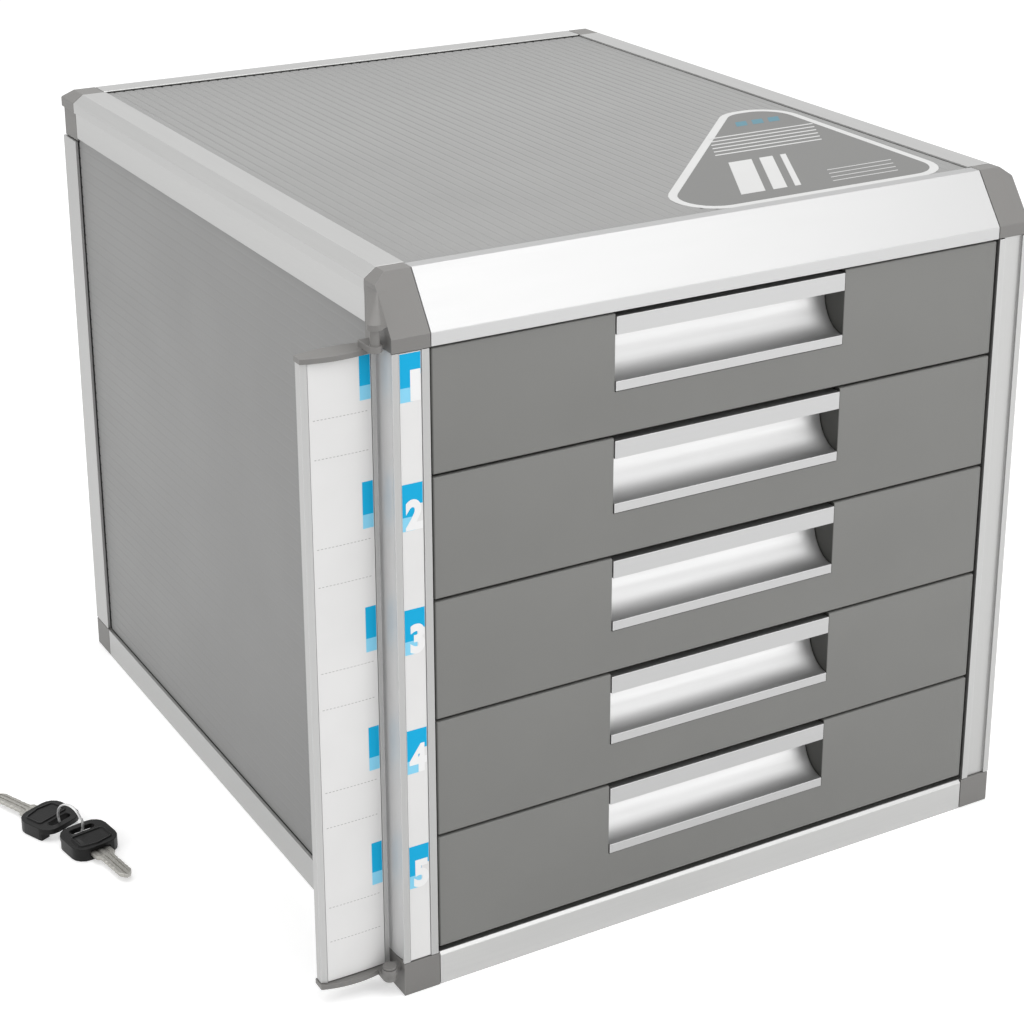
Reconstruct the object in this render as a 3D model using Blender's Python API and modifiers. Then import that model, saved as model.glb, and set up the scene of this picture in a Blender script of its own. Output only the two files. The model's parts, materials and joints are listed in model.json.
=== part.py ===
"""Desktop cabinet with five drawers for A4 paper, an index flap that locks over their edges, and two keys.

Lengths are in metres, +Z is up, +Y points to the back and +X to the right of someone facing the drawers.
The origin is the middle of the underside of the front base rail, on the surface that the cabinet stands on.
The frame is twelve aluminium extrusions whose hollow ends are plugged onto tongues of eight plastic corner
blocks. Ribbed plastic panels sit in the grooves of the extrusions, and two runner panels carry the drawers.
"""
import math

import bmesh
import bpy
from mathutils import Matrix, Vector

# Overall frame
CABINET_WIDTH = 0.300
CABINET_DEPTH = 0.355
CABINET_HEIGHT = 0.298
FIT_GAP = 0.0003
CUT_OVERRUN = 0.002
MERGE_DISTANCE = 0.000003

# Panels and the grooves that hold them
PANEL_THICKNESS = 0.0043
PANEL_SETBACK = 0.0020
TOP_PANEL_DROP = 0.0012
BASE_PANEL_HEIGHT = 0.0030
GROOVE_DEPTH = 0.0060
TOP_GROOVE_DEPTH = 0.0050
HEADER_GROOVE_DEPTH = 0.0040
PANEL_EDGE_GAP = 0.0005

# Base rails
BASE_RAIL_HEIGHT = 0.0145
BASE_RAIL_DEPTH = 0.0165
BASE_RAIL_BEVEL = 0.0012
RAIL_WALL = 0.0016

# Posts
POST_WIDTH = 0.0153
POST_DEPTH = 0.0165
POST_LIP_OUTER = 0.0028
POST_LIP_INNER = 0.0031
LABEL_CHANNEL_DEPTH = 0.0012
POST_LIP_THICKNESS = 0.0013
POST_FLANK_DEPTH = 0.0024
POST_FLANK_RUN = 0.0097
FLANK_STEPS = 8

# Header: the slanted front top rail
HEADER_HEIGHT = 0.0264
HEADER_LIP = 0.0053
HEADER_SLANT_RUN = 0.0149
HEADER_STRIP = 0.0055
HEADER_SOLE = 0.0130

# Side and back top rails
CROWN_RAIL_WIDTH = 0.0165
CROWN_RAIL_HEIGHT = 0.0211
CROWN_BAND = 0.0085
CROWN_STEP = 0.0009
CROWN_CHAMFER_DROP = 0.0038
CROWN_CHAMFER_RUN = 0.0050
CROWN_SHELF = 0.0018

# Corner blocks
BLOCK_WIDTH = 0.0158
FRONT_BLOCK_DEPTH = 0.0214
BACK_BLOCK_DEPTH = 0.0175
BACK_BLOCK_HEIGHT = 0.0225
TONGUE_LENGTH = 0.0120
TONGUE_ROOT = 0.0040

# Drawers
DRAWER_COUNT = 5
DRAWER_GAP = 0.0011
DRAWER_HEAD_GAP = 0.0009
DRAWER_FOOT_GAP = 0.0022
DRAWER_SIDE_GAP = 0.0009
FRONT_THICKNESS = 0.0035
FRONT_SETBACK = 0.0008
FRONT_ROUNDING = 0.0007
TRAY_SIDE_ROOM = 0.0067
TRAY_BACK_ROOM = 0.0191
TRAY_WALL = 0.0018
TRAY_LIFT = 0.0012
TRAY_RIM_DROP = 0.0065

# Pull: the aluminium grip let into each drawer front
PULL_WIDTH = 0.1084
PULL_HEIGHT = 0.0304
PULL_DROP = 0.0012
PULL_PROUD = 0.0004
PULL_WALL = 0.0014
PULL_TOP_LIP = 0.0075
PULL_BOTTOM_LIP = 0.0040
SCOOP_DEPTH = 0.0130
SCOOP_RISE = 0.0148
SCOOP_STEPS = 10
POCKET_WALL = 0.0016
POCKET_GAP = 0.0010

# Runner panels
RUNNER_PLATE = 0.0018
RUNNER_CLEARANCE = 0.0006
LEDGE_REACH = 0.0056
LEDGE_THICKNESS = 0.0020
RUNNER_TOP_RIB_DROP = 0.0330

# Number strip
STRIP_THICKNESS = 0.0005

# Index flap, measured from its hinge line: reach to the left and depth to the back when it stands open
HINGE_OFFSET = 0.0049
HINGE_SETBACK = 0.0035
FLAP_INNER_REACH = -0.0035
FLAP_OUTER_REACH = 0.0263
FLAP_FACE_DEPTH = 0.0066
FLAP_THICKNESS = 0.0074
FLAP_FACE_CROWN = 0.0004
FLAP_BACK_CROWN = 0.0022
FLAP_WALL = 0.0012
FLAP_CARD_RECESS = 0.0007
FLAP_INNER_LIP = 0.0018
FLAP_OUTER_LIP = 0.0024
FLAP_LIP_SLOPE = 0.0009
FLAP_BAR_FOOT = 0.0100
FLAP_BAR_HEAD_DROP = 0.0283
FLAP_CAP_THICKNESS = 0.0024
FLAP_CAP_PROUD = 0.0005
FLAP_CAP_BULGE = 0.0022
FLAP_PLUG_LENGTH = 0.0060
FLAP_ARC_STEPS = 10
CARD_THICKNESS = 0.0003
CARD_GAP = 0.0002

# Hinge: ears of the caps with pins, which turn in bosses of the left front corner blocks
EAR_RADIUS = 0.0027
EAR_ROOT_DEPTH = 0.0088
PEDESTAL_DEPTH = 0.0054
TOP_EAR_LIFT = 0.0003
TOP_EAR_HEIGHT = 0.0025
TOP_PIN_SHOW = 0.0062
TOP_PIN_ENTRY = 0.0022
PIN_RADIUS = 0.0019
PIN_CLEARANCE = 0.0003
PIN_HEAD_RADIUS = 0.0027
PIN_HEAD_HEIGHT = 0.0008
BOSS_RADIUS = 0.0030
BOSS_ROOT = 0.0006
TOP_BOSS_HEIGHT = 0.0030
TOP_BOSS_CROWN = 0.0008
GUSSET_HEAD_DROP = 0.0050
GUSSET_DEPTH = 0.0080
GUSSET_INSET = 0.0006
BOTTOM_BOSS_HEIGHT = 0.0028

# Cam lock in the outer face of the flap
LOCK_HEIGHT = 0.1400
LOCK_REACH = 0.0114
LOCK_FLANGE_RADIUS = 0.0080
LOCK_FLANGE_THICKNESS = 0.0030
LOCK_BARREL_RADIUS = 0.0060
LOCK_BARREL_LENGTH = 0.0030
LOCK_PLUG_RADIUS = 0.0042
LOCK_PLUG_CLEARANCE = 0.0003
LOCK_PLUG_PROUD = 0.0004
LOCK_CAM_THICKNESS = 0.0008
LOCK_CAM_LENGTH = 0.0085
LOCK_CAM_WIDTH = 0.0060
KEYWAY_WIDTH = 0.0010
KEYWAY_HEIGHT = 0.0058
KEYWAY_DEPTH = 0.0045
ROUND_STEPS = 24

# Keys lying beside the cabinet
KEY_HEAD_LENGTH = 0.0220
KEY_HEAD_WIDTH = 0.0220
KEY_HEAD_THICKNESS = 0.0060
KEY_HEAD_CORNER = 0.0065
KEY_BLADE_LENGTH = 0.0250
KEY_BLADE_WIDTH = 0.0070
KEY_BLADE_THICKNESS = 0.0019
KEY_COLLAR_LENGTH = 0.0070
KEY_COLLAR_WIDTH = 0.0098
KEY_SLOT_LENGTH = 0.0120
KEY_SLOT_WIDTH = 0.0036
KEY_SLOT_INSET = 0.0050
KEY_EYE_HEIGHT = 0.0035
KEY_RING_RADIUS = 0.0075
KEY_RING_WIRE = 0.00055
KEY_ONE_X = -0.2314
KEY_ONE_Y = 0.1835
KEY_ONE_TURN = 1.98
KEY_TWO_X = -0.2219
KEY_TWO_Y = 0.1595
KEY_TWO_TURN = -1.42

HALF_WIDTH = CABINET_WIDTH / 2
FRONT_Y = -BASE_RAIL_DEPTH / 2
BACK_Y = FRONT_Y + CABINET_DEPTH
HEADER_BOTTOM = CABINET_HEIGHT - HEADER_HEIGHT
PANEL_OUTER = PANEL_SETBACK
PANEL_INNER = PANEL_SETBACK + PANEL_THICKNESS
GROOVE_OUTER = PANEL_OUTER - FIT_GAP
GROOVE_INNER = PANEL_INNER + FIT_GAP
TOP_GROOVE_HIGH = TOP_PANEL_DROP - FIT_GAP
TOP_GROOVE_LOW = TOP_PANEL_DROP + PANEL_THICKNESS + FIT_GAP
BASE_GROOVE_LOW = BASE_PANEL_HEIGHT - FIT_GAP
BASE_GROOVE_HIGH = BASE_PANEL_HEIGHT + PANEL_THICKNESS + FIT_GAP
HEADER_DEPTH = HEADER_SLANT_RUN + HEADER_STRIP
OPENING_HALF_WIDTH = HALF_WIDTH - POST_WIDTH
FRONT_HALF_WIDTH = OPENING_HALF_WIDTH - DRAWER_SIDE_GAP
LOWEST_FRONT = BASE_RAIL_HEIGHT + DRAWER_FOOT_GAP
DRAWER_PITCH = (HEADER_BOTTOM - DRAWER_HEAD_GAP + DRAWER_GAP - LOWEST_FRONT) / DRAWER_COUNT
FRONT_HEIGHT = DRAWER_PITCH - DRAWER_GAP
FRONT_FACE_Y = FRONT_Y + FRONT_SETBACK
TRAY_HALF_WIDTH = OPENING_HALF_WIDTH - TRAY_SIDE_ROOM
TRAY_FRONT_Y = FRONT_FACE_Y + FRONT_THICKNESS + FIT_GAP
TRAY_BACK_Y = BACK_Y - PANEL_INNER - TRAY_BACK_ROOM
TRAY_HEIGHT = FRONT_HEIGHT - TRAY_LIFT - TRAY_RIM_DROP
HINGE_X = -HALF_WIDTH - HINGE_OFFSET
HINGE_Y = FRONT_Y + HINGE_SETBACK
FLAP_BAR_HEAD = CABINET_HEIGHT - FLAP_BAR_HEAD_DROP
TOP_EAR_FOOT = FLAP_BAR_HEAD + FLAP_CAP_THICKNESS + TOP_EAR_LIFT
TOP_EAR_TOP = TOP_EAR_FOOT + TOP_EAR_HEIGHT

ALUMINIUM = ("anodised_aluminium", (0.66, 0.66, 0.65), 0.35, 1.0)
BRIGHT_ALUMINIUM = ("bright_aluminium", (0.80, 0.80, 0.79), 0.28, 1.0)
CORNER_GREY = ("corner_plastic", (0.27, 0.265, 0.255), 0.5, 0.0)
PANEL_GREY = ("panel_plastic", (0.36, 0.36, 0.355), 0.45, 0.0)
DRAWER_GREY = ("drawer_plastic", (0.23, 0.23, 0.22), 0.5, 0.0)
RUNNER_GREY = ("runner_plastic", (0.30, 0.30, 0.29), 0.55, 0.0)
CARD_WHITE = ("label_card", (0.80, 0.80, 0.79), 0.6, 0.0)
LOCK_CHROME = ("lock_metal", (0.70, 0.70, 0.70), 0.2, 1.0)
KEY_BLACK = ("key_plastic", (0.02, 0.02, 0.02), 0.45, 0.0)
KEY_STEEL = ("key_metal", (0.42, 0.41, 0.38), 0.35, 1.0)


def clear_scene():
    """Remove what the scene starts with, and make the collections for the model and for the cutters."""
    for thing in list(bpy.data.objects):
        bpy.data.objects.remove(thing, do_unlink=True)
    model = bpy.data.collections.new("desktop_file_drawer")
    cutters = bpy.data.collections.new("cutters")
    bpy.context.scene.collection.children.link(model)
    bpy.context.scene.collection.children.link(cutters)
    return model, cutters


MODEL, CUTTERS = clear_scene()


def finish_material(look):
    """A Principled material with the colour, roughness and metallic value of one finish."""
    name, colour, roughness, metallic = look
    material = bpy.data.materials.get(name)
    if material is None:
        material = bpy.data.materials.new(name)
        material.use_nodes = True
        shader = material.node_tree.nodes["Principled BSDF"]
        shader.inputs["Base Color"].default_value = (*colour, 1.0)
        shader.inputs["Roughness"].default_value = roughness
        shader.inputs["Metallic"].default_value = metallic
        material.diffuse_color = (*colour, 1.0)
    return material


def new_object(name, mesh, collection=None):
    """Put a mesh into the scene as an object of its own."""
    thing = bpy.data.objects.new(name, mesh)
    (collection or CUTTERS).objects.link(thing)
    return thing


def tidy_mesh(mesh):
    """Merge doubled points and turn every face outwards."""
    work = bmesh.new()
    work.from_mesh(mesh)
    bmesh.ops.remove_doubles(work, verts=work.verts, dist=MERGE_DISTANCE)
    bmesh.ops.recalc_face_normals(work, faces=work.faces)
    work.to_mesh(mesh)
    work.free()
    mesh.update()


def block(low, high):
    """A box between two corners, as a helper object."""
    work = bmesh.new()
    size = Vector(high) - Vector(low)
    middle = (Vector(high) + Vector(low)) / 2
    bmesh.ops.create_cube(work, size=1.0, matrix=Matrix.Translation(middle) @ Matrix.Diagonal((*size, 1.0)))
    mesh = bpy.data.meshes.new("box")
    work.to_mesh(mesh)
    work.free()
    return new_object("box", mesh)


def upright_cylinder(centre_x, centre_y, radius, low, high):
    """A round post about a vertical axis, as a helper object."""
    work = bmesh.new()
    bmesh.ops.create_cone(
        work, cap_ends=True, segments=ROUND_STEPS, radius1=radius, radius2=radius, depth=high - low,
        matrix=Matrix.Translation((centre_x, centre_y, (low + high) / 2)),
    )
    mesh = bpy.data.meshes.new("cylinder")
    work.to_mesh(mesh)
    work.free()
    return new_object("cylinder", mesh)


def cross_cylinder(centre_x, centre_z, radius, low_y, high_y):
    """A round bar whose axis runs from front to back, as a helper object."""
    work = bmesh.new()
    place = Matrix.Translation((centre_x, (low_y + high_y) / 2, centre_z))
    bmesh.ops.create_cone(
        work, cap_ends=True, segments=ROUND_STEPS, radius1=radius, radius2=radius, depth=high_y - low_y,
        matrix=place @ Matrix.Rotation(math.pi / 2, 4, "X"),
    )
    mesh = bpy.data.meshes.new("cylinder")
    work.to_mesh(mesh)
    work.free()
    return new_object("cylinder", mesh)


def hull(points):
    """The convex body round a set of points, as a helper object."""
    work = bmesh.new()
    for point in points:
        work.verts.new(point)
    shell = bmesh.ops.convex_hull(work, input=work.verts)
    spare = dict.fromkeys(shell["geom_interior"] + shell["geom_unused"])
    loose = [part for part in spare if isinstance(part, bmesh.types.BMVert)]
    bmesh.ops.delete(work, geom=loose, context="VERTS")
    mesh = bpy.data.meshes.new("hull")
    work.to_mesh(mesh)
    work.free()
    tidy_mesh(mesh)
    return new_object("hull", mesh)


# How the two coordinates of an outline and the run of its prism lie along the world's axes
PRISM_FRAMES = {
    "X": Matrix(((0, 0, 1), (1, 0, 0), (0, 1, 0))).to_4x4(),
    "Y": Matrix(((1, 0, 0), (0, 0, -1), (0, 1, 0))).to_4x4(),
    "Z": Matrix.Identity(4),
}


def prism(outline, axis, low, high, holes=()):
    """A flat outline, with holes in it, drawn out along one axis. The outline is in the other two axes."""
    curve = bpy.data.curves.new("outline", "CURVE")
    curve.dimensions = "2D"
    curve.fill_mode = "BOTH"
    curve.extrude = (high - low) / 2
    for loop in (outline, *holes):
        spline = curve.splines.new("POLY")
        spline.points.add(len(loop) - 1)
        for point, (across, up) in zip(spline.points, loop):
            point.co = (across, up, 0.0, 1.0)
        spline.use_cyclic_u = True
    drawn = bpy.data.objects.new("outline", curve)
    CUTTERS.objects.link(drawn)
    drawn.matrix_world = PRISM_FRAMES[axis]
    bpy.context.view_layer.update()
    mesh = bpy.data.meshes.new_from_object(drawn.evaluated_get(bpy.context.evaluated_depsgraph_get()))
    along = Vector([1.0 if letter == axis else 0.0 for letter in "XYZ"])
    mesh.transform(Matrix.Translation(along * (low + high) / 2) @ drawn.matrix_world)
    tidy_mesh(mesh)
    bpy.data.objects.remove(drawn, do_unlink=True)
    return new_object("prism", mesh)


def combine(base, tool, operation):
    """Join a helper to a solid, cut it away or keep the common part. The helper is used up."""
    change = base.modifiers.new(operation.lower(), "BOOLEAN")
    change.operation = operation
    change.solver = "EXACT"
    change.object = tool
    bpy.context.view_layer.update()
    mesh = bpy.data.meshes.new_from_object(base.evaluated_get(bpy.context.evaluated_depsgraph_get()))
    base.modifiers.remove(change)
    base.data = mesh
    bpy.data.objects.remove(tool, do_unlink=True)
    return base


def join(base, *tools):
    for tool in tools:
        combine(base, tool, "UNION")
    return base


def cut(base, *tools):
    for tool in tools:
        combine(base, tool, "DIFFERENCE")
    return base


def keep_common(base, tool):
    return combine(base, tool, "INTERSECT")


def place(solid, name, look):
    """Name a finished solid, give it its material and move it from the helpers to the model."""
    solid.name = name
    solid.data.name = name
    solid.data.materials.clear()
    solid.data.materials.append(finish_material(look))
    CUTTERS.objects.unlink(solid)
    MODEL.objects.link(solid)
    return solid


def smooth_round_faces(solid, angle=math.radians(35)):
    """Shade a rounded solid smooth, with its real edges kept sharp."""
    solid.data.shade_smooth()
    solid.data.set_sharp_from_angle(angle=angle)
    return solid


def rectangle(low_a, high_a, low_b, high_b):
    return [(low_a, low_b), (high_a, low_b), (high_a, high_b), (low_a, high_b)]


def side_x(side, inward):
    """World X of a place this far inwards from the left (-1) or right (+1) side of the frame."""
    return side * (HALF_WIDTH - inward)


def on_side(side, points):
    """Turn (inward, second) pairs into world X and the second value."""
    return [(side_x(side, inward), other) for inward, other in points]


def from_back(points):
    """Turn (distance from the back, second) pairs into world Y and the second value."""
    return [(BACK_Y - inward, other) for inward, other in points]


# Base rails: the front one holds only the base panel, the others also a wall panel in a groove on top
def front_base_section():
    """Section of the front base rail, as world Y and Z."""
    groove_end = BASE_RAIL_DEPTH - TOP_GROOVE_DEPTH
    outer = [
        (0.0, 0.0), (BASE_RAIL_DEPTH, 0.0), (BASE_RAIL_DEPTH, BASE_GROOVE_LOW), (groove_end, BASE_GROOVE_LOW),
        (groove_end, BASE_GROOVE_HIGH), (BASE_RAIL_DEPTH, BASE_GROOVE_HIGH),
        (BASE_RAIL_DEPTH, BASE_RAIL_HEIGHT), (BASE_RAIL_BEVEL, BASE_RAIL_HEIGHT),
        (0.0, BASE_RAIL_HEIGHT - BASE_RAIL_BEVEL),
    ]
    return [(FRONT_Y + depth, height) for depth, height in outer]


FRONT_BASE_HOLE = (
    RAIL_WALL, BASE_RAIL_DEPTH - TOP_GROOVE_DEPTH - RAIL_WALL, RAIL_WALL, BASE_RAIL_HEIGHT - RAIL_WALL,
)


def side_base_section():
    """Section of the other base rails: (inward from the outer face, height)."""
    groove_end = BASE_RAIL_DEPTH - TOP_GROOVE_DEPTH
    wall_groove_floor = BASE_RAIL_HEIGHT - GROOVE_DEPTH
    return [
        (0.0, 0.0), (BASE_RAIL_DEPTH, 0.0), (BASE_RAIL_DEPTH, BASE_GROOVE_LOW), (groove_end, BASE_GROOVE_LOW),
        (groove_end, BASE_GROOVE_HIGH), (BASE_RAIL_DEPTH, BASE_GROOVE_HIGH),
        (BASE_RAIL_DEPTH, BASE_RAIL_HEIGHT), (GROOVE_INNER, BASE_RAIL_HEIGHT),
        (GROOVE_INNER, wall_groove_floor), (GROOVE_OUTER, wall_groove_floor),
        (GROOVE_OUTER, BASE_RAIL_HEIGHT), (0.0, BASE_RAIL_HEIGHT),
    ]


SIDE_BASE_HOLE = (
    RAIL_WALL, BASE_RAIL_DEPTH - TOP_GROOVE_DEPTH - RAIL_WALL, RAIL_WALL,
    BASE_RAIL_HEIGHT - GROOVE_DEPTH - RAIL_WALL,
)


def make_base_rails():
    span_x = HALF_WIDTH - BLOCK_WIDTH - FIT_GAP
    low_y = FRONT_Y + BACK_BLOCK_DEPTH + FIT_GAP
    high_y = BACK_Y - BACK_BLOCK_DEPTH - FIT_GAP
    low_v, high_v, low_z, high_z = FRONT_BASE_HOLE
    hole = rectangle(FRONT_Y + low_v, FRONT_Y + high_v, low_z, high_z)
    place(prism(front_base_section(), "X", -span_x, span_x, [hole]), "base_rail_front", ALUMINIUM)
    section = side_base_section()
    hole = rectangle(*SIDE_BASE_HOLE)
    place(prism(from_back(section), "X", -span_x, span_x, [from_back(hole)]), "base_rail_back", ALUMINIUM)
    for side, word in ((-1, "left"), (1, "right")):
        rail = prism(on_side(side, section), "Y", low_y, high_y, [on_side(side, hole)])
        place(rail, "base_rail_" + word, ALUMINIUM)


# Posts: the front ones have a label channel in their face, and a rounded flank behind the outer lip
POST_HOLE_WIDTH = (GROOVE_INNER + RAIL_WALL, POST_WIDTH - RAIL_WALL)
FRONT_POST_HOLE = (*POST_HOLE_WIDTH, LABEL_CHANNEL_DEPTH + RAIL_WALL, POST_DEPTH - RAIL_WALL)
BACK_POST_HOLE = (*POST_HOLE_WIDTH, GROOVE_INNER + RAIL_WALL, POST_DEPTH - RAIL_WALL)


def front_post_section():
    """Section of a front post: (inward from the side, depth from the front)."""
    channel_end = POST_WIDTH - POST_LIP_INNER
    groove_floor = POST_DEPTH - GROOVE_DEPTH
    points = [
        (0.0, 0.0), (POST_LIP_OUTER, 0.0), (POST_LIP_OUTER, LABEL_CHANNEL_DEPTH),
        (channel_end, LABEL_CHANNEL_DEPTH), (channel_end, 0.0), (POST_WIDTH, 0.0), (POST_WIDTH, POST_DEPTH),
        (GROOVE_INNER, POST_DEPTH), (GROOVE_INNER, groove_floor), (GROOVE_OUTER, groove_floor),
        (GROOVE_OUTER, POST_DEPTH), (0.0, POST_DEPTH),
    ]
    for step in range(FLANK_STEPS + 1):
        turn = math.pi / 2 * (1 - step / FLANK_STEPS)
        inward = POST_FLANK_DEPTH * (1 - math.sin(turn))
        depth = POST_LIP_THICKNESS + POST_FLANK_RUN * (1 - math.cos(turn))
        points.append((inward, depth))
    points.append((0.0, POST_LIP_THICKNESS))
    return points


def back_post_section():
    """Section of a back post: (inward from the side, distance from the back)."""
    side_groove_floor = POST_DEPTH - GROOVE_DEPTH
    back_groove_floor = POST_WIDTH - GROOVE_DEPTH
    return [
        (0.0, 0.0), (POST_WIDTH, 0.0), (POST_WIDTH, GROOVE_OUTER), (back_groove_floor, GROOVE_OUTER),
        (back_groove_floor, GROOVE_INNER), (POST_WIDTH, GROOVE_INNER), (POST_WIDTH, POST_DEPTH),
        (GROOVE_INNER, POST_DEPTH), (GROOVE_INNER, side_groove_floor), (GROOVE_OUTER, side_groove_floor),
        (GROOVE_OUTER, POST_DEPTH), (0.0, POST_DEPTH),
    ]


def make_posts():
    low = BASE_RAIL_HEIGHT + FIT_GAP
    front_high = HEADER_BOTTOM - FIT_GAP
    back_high = CABINET_HEIGHT - BACK_BLOCK_HEIGHT - FIT_GAP
    for side, word in ((-1, "left"), (1, "right")):
        section = [(side_x(side, u), FRONT_Y + v) for u, v in front_post_section()]
        hole = [(side_x(side, u), FRONT_Y + v) for u, v in rectangle(*FRONT_POST_HOLE)]
        place(prism(section, "Z", low, front_high, [hole]), "post_front_" + word, ALUMINIUM)
        section = [(side_x(side, u), BACK_Y - v) for u, v in back_post_section()]
        hole = [(side_x(side, u), BACK_Y - v) for u, v in rectangle(*BACK_POST_HOLE)]
        place(prism(section, "Z", low, back_high, [hole]), "post_back_" + word, ALUMINIUM)


# Header: the slanted rail over the drawers, in world Y and depth below the top
HEADER_WALL_RUN = RAIL_WALL / math.sin(math.atan2(HEADER_HEIGHT - HEADER_LIP, HEADER_SLANT_RUN))
HEADER_BACK_FOOT = TOP_GROOVE_LOW + RAIL_WALL


def slant_depth(drop):
    """Depth from the front of the header's slanted face at a distance below the top."""
    return HEADER_SLANT_RUN * (HEADER_HEIGHT - HEADER_LIP - drop) / (HEADER_HEIGHT - HEADER_LIP)


def header_section():
    groove_floor = HEADER_DEPTH - HEADER_GROOVE_DEPTH
    return [
        (0.0, HEADER_HEIGHT), (0.0, HEADER_HEIGHT - HEADER_LIP), (HEADER_SLANT_RUN, 0.0), (HEADER_DEPTH, 0.0),
        (HEADER_DEPTH, TOP_GROOVE_HIGH), (groove_floor, TOP_GROOVE_HIGH), (groove_floor, TOP_GROOVE_LOW),
        (HEADER_DEPTH, TOP_GROOVE_LOW), (HEADER_DEPTH, HEADER_BACK_FOOT), (HEADER_SOLE, HEADER_HEIGHT),
    ]


def header_hole():
    low = HEADER_HEIGHT - RAIL_WALL
    knee = HEADER_HEIGHT - HEADER_LIP
    return [
        (HEADER_WALL_RUN, low), (HEADER_WALL_RUN, knee),
        (slant_depth(HEADER_BACK_FOOT) + HEADER_WALL_RUN, HEADER_BACK_FOOT),
        (HEADER_SOLE + RAIL_WALL, HEADER_BACK_FOOT + RAIL_WALL), (HEADER_SOLE - RAIL_WALL, low),
    ]


def to_front_and_height(points):
    """Turn (depth from the front, depth below the top) pairs into world Y and Z."""
    return [(FRONT_Y + depth, CABINET_HEIGHT - drop) for depth, drop in points]


# Crown rails: one extrusion for the left, right and back of the top
CROWN_HOLE = (
    CROWN_STEP + RAIL_WALL, CROWN_RAIL_WIDTH / 2 - RAIL_WALL, TOP_GROOVE_LOW + RAIL_WALL,
    CROWN_RAIL_HEIGHT - GROOVE_DEPTH - RAIL_WALL,
)


def crown_section():
    """Section of a crown rail: (inward from the posts' outer plane, depth below the top)."""
    inner_wall = CROWN_RAIL_WIDTH / 2
    groove_floor = CROWN_RAIL_WIDTH - TOP_GROOVE_DEPTH
    wall_groove_ceiling = CROWN_RAIL_HEIGHT - GROOVE_DEPTH
    shelf_foot = TOP_GROOVE_LOW + CROWN_SHELF
    return [
        (CROWN_CHAMFER_RUN, 0.0), (CROWN_RAIL_WIDTH, 0.0), (CROWN_RAIL_WIDTH, TOP_GROOVE_HIGH),
        (groove_floor, TOP_GROOVE_HIGH), (groove_floor, TOP_GROOVE_LOW), (CROWN_RAIL_WIDTH, TOP_GROOVE_LOW),
        (CROWN_RAIL_WIDTH, shelf_foot), (inner_wall, shelf_foot), (inner_wall, CROWN_RAIL_HEIGHT),
        (GROOVE_INNER, CROWN_RAIL_HEIGHT), (GROOVE_INNER, wall_groove_ceiling),
        (GROOVE_OUTER, wall_groove_ceiling), (GROOVE_OUTER, CROWN_RAIL_HEIGHT),
        (CROWN_STEP, CROWN_RAIL_HEIGHT), (CROWN_STEP, CROWN_BAND),
        (0.0, CROWN_BAND), (0.0, CROWN_CHAMFER_DROP),
    ]


def drop_to_height(points):
    return [(first, CABINET_HEIGHT - drop) for first, drop in points]


def make_top_rails():
    span_x = HALF_WIDTH - BLOCK_WIDTH - FIT_GAP
    low_y = FRONT_Y + FRONT_BLOCK_DEPTH + FIT_GAP
    high_y = BACK_Y - BACK_BLOCK_DEPTH - FIT_GAP
    header = prism(
        to_front_and_height(header_section()), "X", -span_x, span_x, [to_front_and_height(header_hole())],
    )
    place(header, "top_rail_front", BRIGHT_ALUMINIUM)
    section = drop_to_height(crown_section())
    hole = drop_to_height(rectangle(*CROWN_HOLE))
    place(prism(from_back(section), "X", -span_x, span_x, [from_back(hole)]), "top_rail_back", ALUMINIUM)
    for side, word in ((-1, "left"), (1, "right")):
        rail = prism(on_side(side, section), "Y", low_y, high_y, [on_side(side, hole)])
        place(rail, "top_rail_" + word, ALUMINIUM)


# Corner blocks
def shrink(bounds):
    """The four bounds of a hollow, drawn in by the fit gap: the section of the tongue that plugs it."""
    low_a, high_a, low_b, high_b = bounds
    return low_a + FIT_GAP, high_a - FIT_GAP, low_b + FIT_GAP, high_b - FIT_GAP


def sorted_pair(first, second):
    return min(first, second), max(first, second)


def tongue_along_x(side, y_pair, z_pair):
    """A tongue that points towards the middle of the cabinet, out of a corner block."""
    inner = HALF_WIDTH - BLOCK_WIDTH
    low_x, high_x = sorted_pair(side * (inner - TONGUE_LENGTH), side * (inner + TONGUE_ROOT))
    low_y, high_y = sorted_pair(*y_pair)
    low_z, high_z = sorted_pair(*z_pair)
    return block((low_x, low_y, low_z), (high_x, high_y, high_z))


def tongue_along_y(x_pair, face_y, towards, z_pair):
    """A tongue that points along Y from a block's face, towards +1 (back) or -1 (front)."""
    low_x, high_x = sorted_pair(*x_pair)
    low_y, high_y = sorted_pair(face_y - towards * TONGUE_ROOT, face_y + towards * TONGUE_LENGTH)
    low_z, high_z = sorted_pair(*z_pair)
    return block((low_x, low_y, low_z), (high_x, high_y, high_z))


def tongue_along_z(x_pair, y_pair, face_z, towards):
    """A tongue that points up (+1) or down (-1) from a block's face."""
    low_x, high_x = sorted_pair(*x_pair)
    low_y, high_y = sorted_pair(*y_pair)
    low_z, high_z = sorted_pair(face_z - towards * TONGUE_ROOT, face_z + towards * TONGUE_LENGTH)
    return block((low_x, low_y, low_z), (high_x, high_y, high_z))


def side_profile(depth_low, depth_high):
    """Front view of a top block: chamfered on its outer side, as (inward, depth below the top)."""
    return [
        (0.0, depth_high), (0.0, CROWN_CHAMFER_DROP), (CROWN_CHAMFER_RUN, depth_low),
        (BLOCK_WIDTH, depth_low), (BLOCK_WIDTH, depth_high),
    ]


def base_boss(low, high):
    """A round lug beside the left front base block, with a web that roots it in the block's side."""
    lug = upright_cylinder(HINGE_X, HINGE_Y, BOSS_RADIUS, low, high)
    web = block((HINGE_X, HINGE_Y, low), (-HALF_WIDTH + BOSS_ROOT, HINGE_Y + BOSS_RADIUS, high))
    return join(lug, web)


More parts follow.
